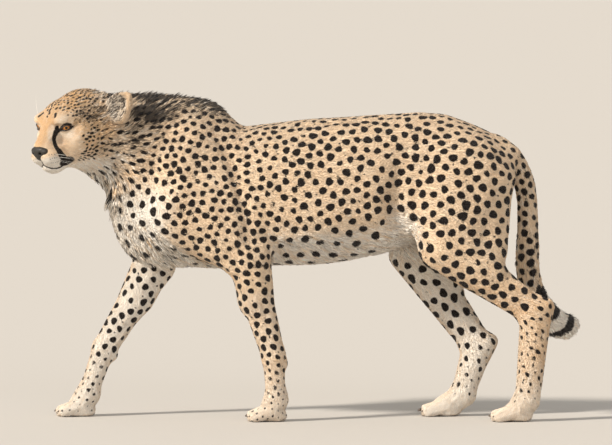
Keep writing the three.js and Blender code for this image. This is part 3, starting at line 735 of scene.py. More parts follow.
# For each part: radius and distance apart in mm, length over width, and the share of places that
# bear a spot.
SPOTS = {
    #              radius apart stretch share
    "head":        (3.0, 9.6, 1.60, 1.0),
    "ear":         (1.0, 60.0, 1.0, 0.0),
    "neck":        (5.8, 18.5, 1.35, 1.0),
    "trunk":       (8.7, 26.5, 0.98, 1.0),
    "tail_base":   (7.6, 23.0, 1.00, 1.0),
    "tail_middle": (8.2, 26.0, 1.00, 1.0),
    "tail_tip":    (6.0, 60.0, 1.00, 0.0),
    "upper_arm":   (7.4, 22.0, 1.00, 1.0),
    "forearm":     (7.6, 23.0, 1.10, 0.95),
    "wrist":       (4.6, 18.0, 1.20, 0.7),
    "foreleg_paw": (2.4, 14.0, 1.20, 0.15),
    "thigh":       (9.5, 29.0, 1.00, 1.0),
    "shank":       (9.5, 27.5, 1.15, 1.0),
    "hind_foot":   (4.2, 18.0, 1.50, 0.5),
    "hindleg_paw": (2.2, 15.0, 1.30, 0.0),
}
spot_table = np.array([SPOTS[part] for part in PARTS])
pattern = around.smooth(spot_table[part_number[numbers]], 22, 0.8)
spine = np.exp(-(y / 0.045) ** 2) * ramp(out_z, 0.5, 0.9) * ON_TRUNK
front = ON_TRUNK * (1 - ramp(x, -0.20, 0.08))
pattern[:, 0] *= 1 - 0.20 * front
pattern[:, 1] *= 1 - 0.19 * front
pattern[:, 0] *= 1 - 0.30 * spine
pattern[:, 1] *= 1 - 0.24 * spine
pattern[:, 2] += 0.45 * spine + 0.5 * nape
pattern[:, 0] *= 1 + 0.15 * belly + 0.30 * chest
pattern[:, 1] *= 1 + 0.60 * belly + 0.15 * inner_leg + 0.55 * chest + 0.35 * under_neck
pattern[:, 2] += (1 - pattern[:, 2]) * chest
pattern[:, 3] *= 1 - 0.25 * inner_leg
pattern[:, 0] *= 1 + 0.45 * ruff
pattern[:, 1] *= 1 + 0.40 * ruff
pattern[:, 2] += 1.3 * ruff + 0.7 * ON_NECK
clean = (1 - ramp(-face[:, 0], 74, 92)) * (1 - ramp(face[:, 2], 56, 64)) * ON_HEAD
over_eye = glow(face, (-62, 28, 64), (19, 26, 14))
beside_eye = glow(face, (-92, 60, 30), (20, 30, 26))
no_spots = most(most(clean, over_eye, beside_eye) * ON_HEAD, (groin > 0.35) * 1.0)
pattern[:, 3] = np.where(no_spots > 0.5, 0, pattern[:, 3])
pattern[:, 3] = np.where(ON_HEAD & (face[:, 2] < -52), 0, pattern[:, 3])


hide_tree = BVHTree.FromPolygons(places.tolist(), faces.tolist())


def tree_of(centres):
    tree = kdtree.KDTree(len(centres))
    for i, centre in enumerate(centres.tolist()):
        tree.insert(centre, i)
    tree.balance()
    return tree


PUSH = 0.22  # the share of a crowded gap that is made up in one round
SMALLEST = 1.2  # radii and gaps in mm
DOT_GAP = 2.6


def settle(centres, apart):
    """Spreads crowded spots over the hide until they lie about as far apart as they should."""
    for _ in range(8):
        tree = tree_of(centres)
        push = np.zeros_like(centres)
        for i, centre in enumerate(centres.tolist()):
            for other, _, gap in tree.find_n(centre, 7):
                if 0 < gap < apart[i]:
                    push[i] += (centres[i] - other) / gap * (apart[i] - gap) * PUSH
        pushed = (centres + push).tolist()
        centres = np.array([hide_tree.find_nearest(place)[0] for place in pushed])
    return centres


def scatter(seed, tries, size_share, apart_share, keep_clear=None):
    """Spots placed by darts, none nearer to another than its part allows: centres, axes, radii.

    size_share and apart_share scale the sizes and gaps of the table. keep_clear is a search tree
    of larger spots with their radii, which the new ones stay out of.
    """
    dart = np.random.default_rng(seed)
    a, b, c = (places[faces[:, i]] for i in range(3))
    area = np.linalg.norm(np.cross(b - a, c - a), axis=1) / 2
    dense = area / np.maximum(pattern[faces].mean(1)[:, 1], 5) ** 2
    chosen = dart.choice(len(faces), tries, p=dense / dense.sum())
    mix = dart.dirichlet((1, 1, 1), tries)
    at = (places[faces[chosen]] * mix[:, :, None]).sum(1)
    size, apart, stretch, share = (pattern[faces[chosen]] * mix[:, :, None]).sum(1).T
    normal = unit((outward[faces[chosen]] * mix[:, :, None]).sum(1))
    along = flat_on((lie[faces[chosen]] * mix[:, :, None]).sum(1), normal)
    wanted = dart.random(tries) < share
    turn = dart.normal(0, 0.30, tries)
    uneven = np.where(size < 5, 0.24, 0.10)
    scale = np.clip(1 + uneven * dart.normal(0, 1, tries), 0.55, 1 + 1.8 * uneven) * size_share
    kept_at = np.empty((tries, 3))
    kept = []
    for i in range(tries):
        if not wanted[i] or size[i] < SMALLEST:
            continue
        clear = apart[i] * apart_share * MM
        n = len(kept)
        if n and (np.abs(kept_at[:n] - at[i]).max(1).min() < clear):
            if (((kept_at[:n] - at[i]) ** 2).sum(1).min()) < clear ** 2:
                continue
        if keep_clear is not None:
            _, j, gap = keep_clear[0].find(at[i])
            if gap < (keep_clear[1][j] + size[i] * scale[i] + DOT_GAP) * MM:
                continue
        kept_at[n] = at[i]
        kept.append(i)
    kept = np.array(kept)
    at[kept] = settle(at[kept], apart[kept] * MM) if keep_clear is None else at[kept]
    cross = np.cross(normal[kept], along[kept])
    cos, sin = np.cos(turn[kept])[:, None], np.sin(turn[kept])[:, None]
    long_way = along[kept] * cos + cross * sin
    wide_way = cross * cos - along[kept] * sin
    long_radius = size[kept] * scale[kept] * stretch[kept] ** 0.5
    wide_radius = size[kept] * scale[kept] / stretch[kept] ** 0.5
    wobble = dart.random((len(kept), 2)) * 2 * np.pi
    return {"at": at[kept], "long": long_way, "wide": wide_way, "normal": normal[kept],
            "radii": np.stack([long_radius, wide_radius], 1), "wobble": wobble}


big = scatter(5, 42000, 1.0, 0.76)
big_tree = tree_of(big["at"])
small = scatter(9, 9000, 0.30, 1.15, (big_tree, big["radii"].mean(1)))
blots = {key: np.concatenate([big[key], small[key]]) for key in big}
blot_tree = tree_of(blots["at"])
FAR = 9.0  # what is more than this many mm from a mark needs no closer figure


def spot_edge(at, normal):
    """How far outside the nearest spot each place lies, in mm; below 0 inside it."""
    best = np.full(len(at), FAR)
    near = [[found[1] for found in blot_tree.find_n(place, 3)] for place in at.tolist()]
    for k in range(3):
        i = np.array([row[k] for row in near])
        away = (at - blots["at"][i]) / MM
        u = (away * blots["long"][i]).sum(1) / blots["radii"][i, 0]
        v = (away * blots["wide"][i]).sum(1) / blots["radii"][i, 1]
        deep = (away * blots["normal"][i]).sum(1) / blots["radii"][i].mean(1)
        reach = np.sqrt(u ** 2 + v ** 2 + 0.3 * deep ** 2)
        angle = np.arctan2(v, u)
        twice, thrice = blots["wobble"][i].T
        shape = 1 + 0.09 * np.sin(2 * angle + twice) + 0.07 * np.sin(3 * angle + thrice)
        edge = (reach - shape) * blots["radii"][i].mean(1)
        facing = (normal * blots["normal"][i]).sum(1) > -0.1
        best = np.where(facing, np.minimum(best, edge), best)
    return best


TAIL_END = from_nose[ON_TAIL].max()
TAIL_RINGS = [(0.030, 0.056), (0.088, 0.118), (0.152, 0.178)]  # metres from the end of the tail


def tail_rings(from_end, down):
    """Dark rings round the last third of the tail, broader on top than below."""
    rings = np.full(len(from_end), FAR)
    for low, high in TAIL_RINGS:
        outside = np.maximum(low - from_end, from_end - high) / MM
        rings = np.minimum(rings, outside + 4 * ramp(down, 0.2, 0.9))
    return rings


BROW_SPOT = on_hide([(-61, 22, 66), (-53, 28.5, 61)], 1.0)
THROAT_TUFT = [(-0.438, -0.038, 0.514), (0.018, 0.014, 0.014)]  # centre and radii of a dark tuft
MOUTH_BOTTOM, SPLIT_BOTTOM = on_hide(MOUTH_LINE, 2.0, 3.0), on_hide(LIP_SPLIT, 2.0, 1.8)
INNER_CORNER = on_hide([(-57, 27, 33), (-56, 26, 34)])[0]
WHISKER_ROWS = [on_hide(row, 4.0) for row in (
    [(-13, 27, -18), (-30, 29, -20)],
    [(-13, 27, -26), (-35, 31, -28)],
    [(-15, 26, -34), (-38, 31, -37)],
)]


def face_edge(there):
    """The dark lines of the face: round the eyes, down the tear lines, the mouth and the brow; the
    liner above each eye is widened partly by painted shade of the brow.
    """
    there = mirrored(there)
    distance, u, v, _ = orbit_view(there)
    # The liner is widest above the eye: dark lid skin, and there partly painted shade of the brow.
    liner_and_brow_shade_width = 2.2 + 2.6 * ramp(v, 0, 5) + 1.6 * ramp(u, 8, 15)
    liner = lid_margin(there) - liner_and_brow_shade_width + 0.8 * np.maximum(distance - 20, 0)
    gap, share = along_line(TEAR_LINE, there)
    tear = gap - (6.2 - 0.4 * ramp(share, 0.1, 0.4) + 3.0 * ramp(share, 0.55, 0.85))
    brow = along_line(BROW_SPOT, there)[0] - 3.6
    corner = (np.linalg.norm((there - (-57, 31, -45)) / (21, 14, 10.5), axis=1) - 1) * 11
    gap, share = along_line(MOUTH_BOTTOM, there)
    lips = gap - (2.2 + 1.8 * share ** 2)
    split = along_line(SPLIT_BOTTOM, there)[0] - 1.7
    inner = (np.linalg.norm((there - INNER_CORNER) / (9, 7, 8), axis=1) - 1) * 7.5
    edge = np.minimum.reduce([liner, tear, brow, corner, lips, split, inner])
    for row in WHISKER_ROWS:
        for root in row:
            edge = np.minimum(edge, (np.linalg.norm(there - root, axis=1) - 1.1) * 1.4)
    return edge


def dark_edge(at, normal, node_number, from_end):
    """How far outside any dark mark each place lies, in mm; below 0 inside it."""
    edge = spot_edge(at, normal)
    there = to_head(at)
    on_face = in_parts(node_number, "head", "eye") & (there[:, 0] > -105)
    edge = np.where(on_face, np.minimum(edge, face_edge(there)), edge)
    centre, radii = np.array(THROAT_TUFT)
    edge = np.minimum(edge, (np.linalg.norm((at - centre) / radii, axis=1) - 1) * radii.mean() / MM)
    edge = np.minimum(edge, at[:, 2] / MM - 1.6)  # the bare black pads under the toes
    rings = np.minimum(edge, tail_rings(from_end, -normal[:, 2]))
    return np.where(in_parts(node_number, "tail"), rings, edge)


def store(mesh, name, amounts):
    """Keeps a number or a direction at each vertex, for a material to read."""
    kind, field = ("FLOAT", "value") if amounts.ndim == 1 else ("FLOAT_VECTOR", "vector")
    layer = mesh.attributes.new(name, kind, "POINT")
    layer.data.foreach_set(field, amounts.astype(np.float32).ravel())


# The tail is pale below, and pale all round toward its tip.
white_tail = (1 - ramp(TAIL_END - from_nose, 0.15, 0.20)) * ON_TAIL
cream = most(cream, white_tail, ON_TAIL * ramp(-out_z, 0.1, 0.8) * 0.6)
edge = dark_edge(places, outward, numbers, TAIL_END - from_nose)
marks = {"edge": edge, "cream": cream, "gold": gold, "smoke_and_shadow": smoke_and_shadow, "lie": lie}
for name, amounts in marks.items():
    store(skin.data, name, amounts)


# ------------------------------------------------------------------ finish of the coat
# Short coarse hair coloured through: matt, with a faint sheen where hairs lie side by side, darker
# at the root as painted shade and lighter toward the tips. The hide below bears the same marks,
# under a combed grain, and is darkened a little as painted shade in the gaps between tufts.

def linear(colour):
    """An sRGB hex colour as linear red, green, blue and alpha."""
    parts = [int(colour[i:i + 2], 16) / 255 for i in (1, 3, 5)]
    return [c / 12.92 if c <= 0.04045 else ((c + 0.055) / 1.055) ** 2.4 for c in parts] + [1]


def add_node(tree, kind, settings=None, **links):
    """Adds a shader node. Each link is a socket's name or number, with its value or its feed."""
    node = tree.nodes.new("ShaderNode" + kind)
    for key, value in (settings or {}).items():
        setattr(node, key, value)
    for key, value in links.items():
        socket = node.inputs[int(key[1:]) if key[1:].isdigit() else key.replace("_", " ")]
        if isinstance(value, bpy.types.NodeSocket):
            tree.links.new(value, socket)
        else:
            socket.default_value = value
    return node


def new_material(name):
    material = bpy.data.materials.new(name)
    material.use_nodes = True
    material.node_tree.nodes.clear()
    return material, material.node_tree


# The smoke colour is smoky hair, and also the painted shadow under and behind each ear.
CREAM, GOLD, SMOKE_AND_SHADOW, BLACK = "#fcf5ea", "#dfae6c", "#2c241e", "#201814"


def coat_colour(tree):
    """Pigment from the marks stored on the hide or on each tuft."""
    def mark(name):
        return add_node(tree, "Attribute", {"attribute_name": name}).outputs["Fac"]

    def tint(amount, under, over):
        mixed = add_node(tree, "Mix", {"data_type": "RGBA"}, _0=amount)
        for socket, colour in ((mixed.inputs[6], under), (mixed.inputs[7], over)):
            if isinstance(colour, str):
                socket.default_value = linear(colour)
            else:
                tree.links.new(colour, socket)
        return mixed.outputs[2]

    where = add_node(tree, "TexCoord").outputs["Object"]
    patchy = add_node(tree, "TexNoise", Vector=where, Scale=1 / 0.035, Detail=4.0, Roughness=0.6)
    warm = tint(mark("gold"), tint(patchy.outputs["Fac"], "#eecfaa", "#f6e1c5"), GOLD)
    pale = tint(mark("cream"), warm, CREAM)
    # Smoke also lays the painted shadow under and behind each ear.
    smoky_and_shaded = tint(mark("smoke_and_shadow"), pale, SMOKE_AND_SHADOW)
    fray = add_node(tree, "TexNoise", Vector=where, Scale=1 / 0.0016, Detail=2.0)
    frayed = add_node(tree, "Math", {"operation": "MULTIPLY_ADD"},
                      _0=fray.outputs["Fac"], _1=1.6, _2=-0.8)
    moved = add_node(tree, "Math", {"operation": "ADD"}, _0=mark("edge"), _1=frayed.outputs[0])
    dark = add_node(tree, "MapRange", {"interpolation_type": "SMOOTHSTEP"},
                    Value=moved.outputs[0], _1=1.0, _2=-1.0, _3=0.0, _4=1.0)
    return tint(dark.outputs[0], smoky_and_shaded, BLACK), where


# Dull and soft, a little darker than the hair over it, as painted shade in the gaps between tufts.
# The grain is 2.2 mm across and drawn out eightfold along the lie of the coat, since real hair is
# finer than can show.
hide_finish, tree = new_material("short combed underfur")
colour, where = coat_colour(tree)
lie_way = add_node(tree, "Attribute", {"attribute_name": "lie"}).outputs["Vector"]
along = add_node(tree, "VectorMath", {"operation": "DOT_PRODUCT"}, _0=where, _1=lie_way)
back = add_node(tree, "VectorMath", {"operation": "SCALE"}, _0=lie_way,
                Scale=along.outputs["Value"])
less = add_node(tree, "VectorMath", {"operation": "SCALE"}, _0=back.outputs[0], Scale=0.88)
combed = add_node(tree, "VectorMath", {"operation": "SUBTRACT"}, _0=where, _1=less.outputs[0])
grain = add_node(tree, "TexNoise", Vector=combed.outputs[0], Scale=1 / 0.0022, Detail=3.0,
                 Roughness=0.65)
bump = add_node(tree, "Bump", Height=grain.outputs["Fac"], Strength=0.6, Distance=0.0012)
# Painted shade: the hide is darkened by a tenth, for the gaps between tufts.
under = add_node(tree, "HueSaturation", Color=colour, Value=0.9)
hide = add_node(tree, "BsdfPrincipled", Base_Color=under.outputs[0], Roughness=0.85,
                Normal=bump.outputs[0])
hide.inputs["Specular IOR Level"].default_value = 0.15
add_node(tree, "OutputMaterial", Surface=hide.outputs[0])
skin.data.materials.clear()
skin.data.materials.append(hide_finish)
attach(skin, "root")
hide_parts(*[node for node in flesh if "eye" not in node])

# Matt shafts with a little shine along them: darker at the root, a painted shade where the tufts
# overlap, so that the tufts read one by one.
hair_finish, tree = new_material("coarse guard hair")
colour, where = coat_colour(tree)
tip = add_node(tree, "Attribute", {"attribute_name": "tip"}).outputs["Fac"]
tone = add_node(tree, "Attribute", {"attribute_name": "tone"}).outputs["Fac"]
# Painted shade: each tuft is darkened toward its root, and lightened a little at its tip.
root_shade_toward_tip = add_node(tree, "MapRange", Value=tip, _1=0.0, _2=1.0, _3=0.80, _4=1.10)
value = add_node(tree, "Math", {"operation": "MULTIPLY"}, _0=root_shade_toward_tip.outputs[0], _1=tone)
shaded = add_node(tree, "HueSaturation", Color=colour, Value=value.outputs[0])
hair = add_node(tree, "BsdfPrincipled", Base_Color=shaded.outputs[0], Roughness=0.62)
hair.inputs["Specular IOR Level"].default_value = 0.28
hair.inputs["Sheen Weight"].default_value = 0.12
hair.inputs["Sheen Roughness"].default_value = 0.5
add_node(tree, "OutputMaterial", Surface=hair.outputs[0])


# ------------------------------------------------------------------ tufts
# The coat itself: flat spindles of hair rooted in the hide, which overlap like thatch along the lie
# of the coat and cling in locks. They stand out on the nape, ruff, throat, belly, crown and tail.

TUFT_FACES = np.array([(0, 2, 1), (3, 1, 2), (0, 1, 3), (0, 3, 2)])  # root, left, right, tip
TUFT_UV = np.array([(0.5, 0.0), (0.0, 0.5), (1.0, 0.5), (0.5, 1.0)])
PATCH = 0.003  # each tuft's share of its piece's unwrap
COVER = 0.80  # how many layers of short hair lie over each place
LOOSE_COVER = 1.0  # and how many more where the coat is long
PIECE_TUFTS = 49000
PAD = 0.0014  # hide lower than this is a bare pad
LOCK_TUFTS = 11  # tufts that cling together in one lock
LOCK_REACH = 5 * MM  # how far aside a tip is drawn to its lock
ROOT_SHARE, TIP_SHARE = 0.58, 0.42  # a tuft is widest between its root and its tip
ROOTED = 0.0004  # how deep its root lies in the hide
TIP_CLEAR = 0.0004  # how high a tip stays over the floor


def node_unwrap(at, node_number, group):
    """Each root's place on an unwrap: round and along its own part, the parts side by side."""
    uv = np.zeros((len(at), 2))
    for k, number in enumerate(group):
        own = node_number == number
        if not own.any():
            continue
        shell = points_of(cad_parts[NODES[number]].data)
        middle_at = shell.mean(0)
        spread = np.linalg.svd(shell - middle_at, full_matrices=False)[2]
        reach = (shell - middle_at) @ spread[0]
        away = (at[own] - middle_at) @ spread.T
        turn = np.arctan2(away[:, 2], away[:, 1]) / (2 * np.pi) + 0.5
        along = (away[:, 0] - reach.min()) / np.ptp(reach)
        uv[own, 0] = (k + 0.02 + 0.96 * turn) / len(group)
        uv[own, 1] = np.clip(along, 0, 1) * 0.99
    return uv


def leaders_of(root, way, cross, dart):
    """The tuft that leads each one's lock: the nearest of six, counting less along the coat."""
    leaders = dart.choice(len(root), max(6, len(root) // LOCK_TUFTS), replace=False)
    tree = tree_of(root[leaders])
    six = [[found[1] for found in tree.find_n(place, 6)] for place in root.tolist()]
    near = leaders[np.array(six)]
    away = root[:, None] - root[near]
    along = (away * way[:, None]).sum(2)
    across = (away * cross[:, None]).sum(2)
    return near[np.arange(len(root)), np.argmin(across ** 2 + (0.35 * along) ** 2, axis=1)]


def grow(name, group, seed):
    """Grows the tufts of some CAD nodes, in pieces named after them."""
    dart = np.random.default_rng(seed)
    chosen = np.isin(numbers[faces], group).sum(1) >= 2
    own_faces = faces[chosen]
    a, b, c = (places[own_faces[:, i]] for i in range(3))
    area = np.linalg.norm(np.cross(b - a, c - a), axis=1) / 2 / MM ** 2
    on_pad = (places[own_faces][:, :, 2] < PAD).any(1)
    bald = (lids[own_faces] < 0.9).any(1) | on_nose[own_faces].any(1) | on_pad
    per_tuft = (length * width)[own_faces].mean(1) * 0.5
    layers = COVER + LOOSE_COVER * loose[own_faces].mean(1)
    wanted = np.where(bald, 0, area * layers / per_tuft)
    total = np.cumsum(wanted)
    count = int(total[-1])
    pick = np.searchsorted(total, (np.arange(count) + dart.random(count)) * total[-1] / count)
    pick = np.minimum(pick, len(own_faces) - 1)
    mix = dart.dirichlet((1, 1, 1), count)

    def at_root(quantity):
        values = quantity[own_faces[pick]]
        return (values * (mix if quantity.ndim == 1 else mix[:, :, None])).sum(1)

    root = at_root(places)
    normal = unit(at_root(outward))
    way = flat_on(at_root(lie), normal)
    cross = np.cross(normal, way)
    turn = dart.normal(0, 0.13, count) + 0.10 * at_root(drift)
    cos, sin = np.cos(turn)[:, None], np.sin(turn)[:, None]
    way, cross = way * cos + cross * sin, cross * cos - way * sin
    long = at_root(length) * np.clip(dart.normal(1, 0.16, count), 0.6, 1.5) * MM
    wide = at_root(width) * np.clip(dart.normal(1, 0.18, count), 0.6, 1.5) * MM
    rise = np.radians(np.clip(at_root(lift) * dart.normal(1, 0.3, count), 2, 60))
    shag = 0.35 + 0.65 * at_root(most(loose, 0.8 * ON_HEAD * ramp(-face[:, 0], 34, 85)))
    lead = leaders_of(root, way, cross, dart)
    pull = 0.30 + 0.45 * at_root(loose)
    reached = root + way * (long * np.cos(rise))[:, None]
    aside = ((reached - root[lead]) * cross[lead]).sum(1)
    reached -= cross[lead] * (np.clip(aside, -LOCK_REACH, LOCK_REACH) * pull)[:, None]
    down = [hide_tree.find_nearest(place) for place in reached.tolist()]
    landing = np.array([found[0] for found in down])
    standing = long * np.sin(rise) + 0.0002
    tip = landing + normal * standing[:, None]
    tip[:, 2] = np.maximum(tip[:, 2], TIP_CLEAR)
    middle_at = root * ROOT_SHARE + tip * TIP_SHARE
    middle_at += normal * (0.20 * standing + 0.0003)[:, None]
    half = cross * (wide / 2)[:, None]
    corners = np.stack([root - normal * ROOTED, middle_at + half, middle_at - half, tip], 1)
    node_number = nodes_at(root)
    from_end = TAIL_END - at_root(from_nose)
    tailward = long * at_root(ON_TAIL * 1.0)
    midway = root * ROOT_SHARE + landing * TIP_SHARE
    root_edge = dark_edge(root, normal, node_number, from_end)
    middle_edge = dark_edge(midway, normal, node_number, from_end - TIP_SHARE * tailward)
    tip_edge = dark_edge(landing, normal, node_number, from_end - tailward)
    # Each lock differs a little in paleness, smoke and tone, and each tuft a little from its lock.
    edges = np.stack([root_edge, middle_edge, middle_edge, tip_edge], 1)
    edges += dart.normal(0, 0.3, (count, 1))
    paleness = at_root(cream) + 0.34 * shag * dart.normal(0, 1, count)[lead]
    chance = dart.random(count) * 0.4 + dart.random(count)[lead] * 0.6
    tone = dart.normal(1.0, 0.06, count) + 0.10 * shag * dart.normal(0, 1, count)[lead]
    stored = {
        "edge": edges,
        "cream": np.clip(paleness, 0, 1),
        "gold": at_root(gold),
        "smoke_and_shadow": np.where(chance < at_root(smoke_and_shadow), 0.92, 0.25 * at_root(smoke_and_shadow)),
        "tone": np.clip(tone, 0.72, 1.25),
    }
    uv = node_unwrap(root, node_number, group) * (1 - PATCH)
    order = np.argsort(root[:, 0])
    pieces = max(1, math.ceil(count / PIECE_TUFTS))
    for k, own in enumerate(np.array_split(order, pieces)):
        piece = f"coat_{name}" if pieces == 1 else f"coat_{name}_{k + 1}"
        weave(piece, corners[own], {key: amounts[own] for key, amounts in stored.items()}, uv[own])


def put(name, data):
    """A new object in the scene, made of the data."""
    thing = bpy.data.objects.new(name, data)
    bpy.context.scene.collection.objects.link(thing)
    return thing


def weave(name, corners, stored, uv):
    """Joins tufts into one mesh piece, each a closed shell of four faces with its own marks."""
    count = len(corners)
    mesh = bpy.data.meshes.new(name)
    mesh.vertices.add(count * 4)
    mesh.vertices.foreach_set("co", corners.astype(np.float32).ravel())
    loops = (TUFT_FACES[None] + 4 * np.arange(count)[:, None, None]).astype(np.int32)
    mesh.loops.add(loops.size)
    mesh.loops.foreach_set("vertex_index", loops.ravel())
    mesh.polygons.add(count * 4)
    mesh.polygons.foreach_set("loop_start", np.arange(0, loops.size, 3, dtype=np.int32))
    mesh.update(calc_edges=True)
    mesh.polygons.foreach_set("use_smooth", np.ones(count * 4, bool))
    for key, amounts in stored.items():
        store(mesh, key, amounts.ravel() if amounts.ndim == 2 else np.repeat(amounts, 4))
    store(mesh, "tip", np.tile([0.0, 0.5, 0.5, 1.0], count))
    layer = mesh.uv_layers.new(name="OFBake")
    spread = TUFT_UV[TUFT_FACES.ravel()] * PATCH
    patches = np.repeat(uv, 12, 0) + np.tile(spread, (count, 1))
    layer.data.foreach_set("uv", patches.astype(np.float32).ravel())
    mesh.materials.append(hair_finish)
    piece = put(name, mesh)
    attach(piece, "root")


coat_groups = ("head", "neck", "trunk", "tail",
               "left_foreleg", "right_foreleg", "left_hindleg", "right_hindleg")
for seed, name in enumerate(coat_groups):
    words = ("head", "_ear", "eye") if name == "head" else (name,)
    members = [i for i, node in enumerate(NODES) if any(word in node for word in words)]
    grow(name, members, 100 + seed)


# ------------------------------------------------------------------ eyes
# Two eyeballs with amber irises, round pupils and wet corneas. They sit in their sockets behind
# the lids, and look ahead past the nose and a little to the left.

GAZE = {"left": unit(np.array([0.62, 0.78, 0.02])), "right": unit(np.array([0.98, -0.20, 0.02]))}
IRIS = 9.6  # radius in mm
CORNEA_BULGE = 1.5


def eyeball(side):
    """One eyeball, turned to its gaze, which keeps each place on the ball for the iris."""
    bpy.ops.mesh.primitive_uv_sphere_add(segments=72, ring_count=56, radius=EYE_RADIUS)
    eye = bpy.context.object
    eye.name = eye.data.name = "eyeball_" + side
    local = points_of(eye.data)
    gaze = GAZE[side]
    right = unit(np.cross(gaze, (0, 0, 1)))
    up = np.cross(right, gaze)
    from_axis = np.hypot(local[:, 0], local[:, 1])
    local[:, 2] += CORNEA_BULGE * (1 - ramp(from_axis, 2.0, IRIS + 1.2)) * (local[:, 2] > 0)
    centre = EYE_AT * (1, 1 if side == "left" else -1, 1)
    move_points(eye.data, from_head(centre + local @ np.stack([right, up, gaze])))
    store(eye.data, "eye_way", local)
    bpy.ops.object.shade_smooth()
    eye.data.materials.append(eye_finish)
    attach(eye, "root")
    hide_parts(side + "_eye")


# A brown-amber iris round a black pupil, dark at its outer edge, under a film of tears that gives
# one small sharp highlight.
RING_REACH = 12.0  # mm from the eye's axis to the last ring
eye_finish, tree = new_material("wet amber eye")
way = add_node(tree, "Attribute", {"attribute_name": "eye_way"}).outputs["Vector"]
flat = add_node(tree, "VectorMath", {"operation": "MULTIPLY"}, _0=way, _1=(1, 1, 0))
radius = add_node(tree, "VectorMath", {"operation": "LENGTH"}, _0=flat.outputs[0]).outputs["Value"]
spoke = add_node(tree, "VectorMath", {"operation": "NORMALIZE"}, _0=flat.outputs[0])
streaks = add_node(tree, "TexNoise", Vector=spoke.outputs[0], Scale=9.0, Detail=5.0, Roughness=0.7)
shift = add_node(tree, "Math", {"operation": "MULTIPLY_ADD"},
                 _0=streaks.outputs["Fac"], _1=1.6, _2=-0.8)
uneven = add_node(tree, "Math", {"operation": "ADD"}, _0=radius, _1=shift.outputs[0])
reach = add_node(tree, "Math", {"operation": "DIVIDE"}, _0=uneven.outputs[0], _1=RING_REACH)
rings = add_node(tree, "ValToRGB", _0=reach.outputs[0])
stops = [(0.0, "#060403"), (0.25, "#070504"), (0.29, "#b07a3a"), (0.45, "#9c622c"),
         (0.64, "#6b3c1a"), (0.75, "#241209"), (0.84, "#120b08"), (1.0, "#1c1410")]
ramp_stops = rings.color_ramp.elements
while len(ramp_stops) < len(stops):
    ramp_stops.new(0.5)
for stop, (at, colour) in zip(ramp_stops, stops):
    stop.position = at
    stop.color = linear(colour)
wet = add_node(tree, "BsdfPrincipled", Base_Color=rings.outputs["Color"], Roughness=0.25)
wet.inputs["Specular IOR Level"].default_value = 0.1
wet.inputs["Coat Weight"].default_value = 0.55
wet.inputs["Coat Roughness"].default_value = 0.02
add_node(tree, "OutputMaterial", Surface=wet.outputs[0])
for side in GAZE:
    eyeball(side)


# ------------------------------------------------------------------ rims of the lids
# Bare black skin, moist and rounded, edges both lids and runs into the inner corner of each eye.
# Each rim is a closed cord laid on the ball along the opening, thinner toward the corners.

RIM_RADIUS = 1.45 * MM


def select_only(thing):
    bpy.ops.object.select_all(action="DESELECT")
    thing.select_set(True)
    bpy.context.view_layer.objects.active = thing


def to_mesh(thing):
    """Turns a curve object into a smooth mesh one."""
    select_only(thing)
    bpy.ops.object.convert(target="MESH")
    bpy.ops.object.shade_smooth()
    return bpy.context.object


def rim(side):
    """The rim of both lids of one eye."""
    step = np.linspace(0, 1, 25)
    u = LID_OUT + (LID_IN - LID_OUT) * (0.5 - 0.5 * np.cos(np.pi * step))
    low, high = lid_heights(u)
    u = np.concatenate([u, u[-2:0:-1]])
    v = np.concatenate([low, high[-2:0:-1]])
    ahead = np.sqrt(np.maximum(1 - (u ** 2 + v ** 2) / LID_RADIUS ** 2, 0.02))
    way = (np.outer(u, ORBIT_IN) + np.outer(v, ORBIT_UP)) / LID_RADIUS + np.outer(ahead, ORBIT_AXIS)
    path = (EYE_AT + unit(way) * (LID_RADIUS - 0.1)) * (1, 1 if side == "left" else -1, 1)
    line = bpy.data.curves.new("lid_rim_" + side, "CURVE")
    line.dimensions = "3D"
    line.bevel_depth = RIM_RADIUS
    line.bevel_resolution = 4
    line.use_fill_caps = True
    spline = line.splines.new("POLY")
    spline.points.add(len(path) - 1)
    thin = 1 - 0.35 * np.abs(u - (LID_OUT + LID_IN) / 2) / (LID_IN - LID_OUT) * 2
    for point, place, share in zip(spline.points, from_head(path).tolist(), thin.tolist()):
        point.co = (*place, 1)
        point.radius = share
    spline.use_cyclic_u = True
    edge_piece = to_mesh(put("lid_rim_" + side, line))
    edge_piece.data.materials.append(rim_finish)
    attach(edge_piece, "root")


# Nearly black and half shiny, so that a thin wet line of light runs round the eye.
rim_finish, tree = new_material("moist black lid skin")
where = add_node(tree, "TexCoord").outputs["Object"]
crinkle = add_node(tree, "TexNoise", Vector=where, Scale=1 / 0.0009, Detail=3.0)
bump = add_node(tree, "Bump", Height=crinkle.outputs["Fac"], Strength=0.25, Distance=0.0003)
moist = add_node(tree, "BsdfPrincipled", Base_Color=linear("#1b1512"), Roughness=0.42,
                 Normal=bump.outputs[0])
add_node(tree, "OutputMaterial", Surface=moist.outputs[0])
for side in GAZE:
    rim(side)


# ------------------------------------------------------------------ nose leather
# Bare, pebbled, dark grey skin between the nostrils, split below by the groove that runs down to
# the lip. It stands a little proud of the hair round it.

def merged_copy(node, name):
    """A CAD node's mesh as a new object of its own, with its loose triangles joined up."""
    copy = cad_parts[node].copy()
    copy.data = copy.data.copy()
    copy.parent = None
    copy.name = copy.data.name = name
    bpy.context.scene.collection.objects.link(copy)
    shape = bmesh.new()
    shape.from_mesh(copy.data)
    bmesh.ops.remove_doubles(shape, verts=shape.verts, dist=WELD)
    shape.to_mesh(copy.data)
    shape.free()
    select_only(copy)
    return copy


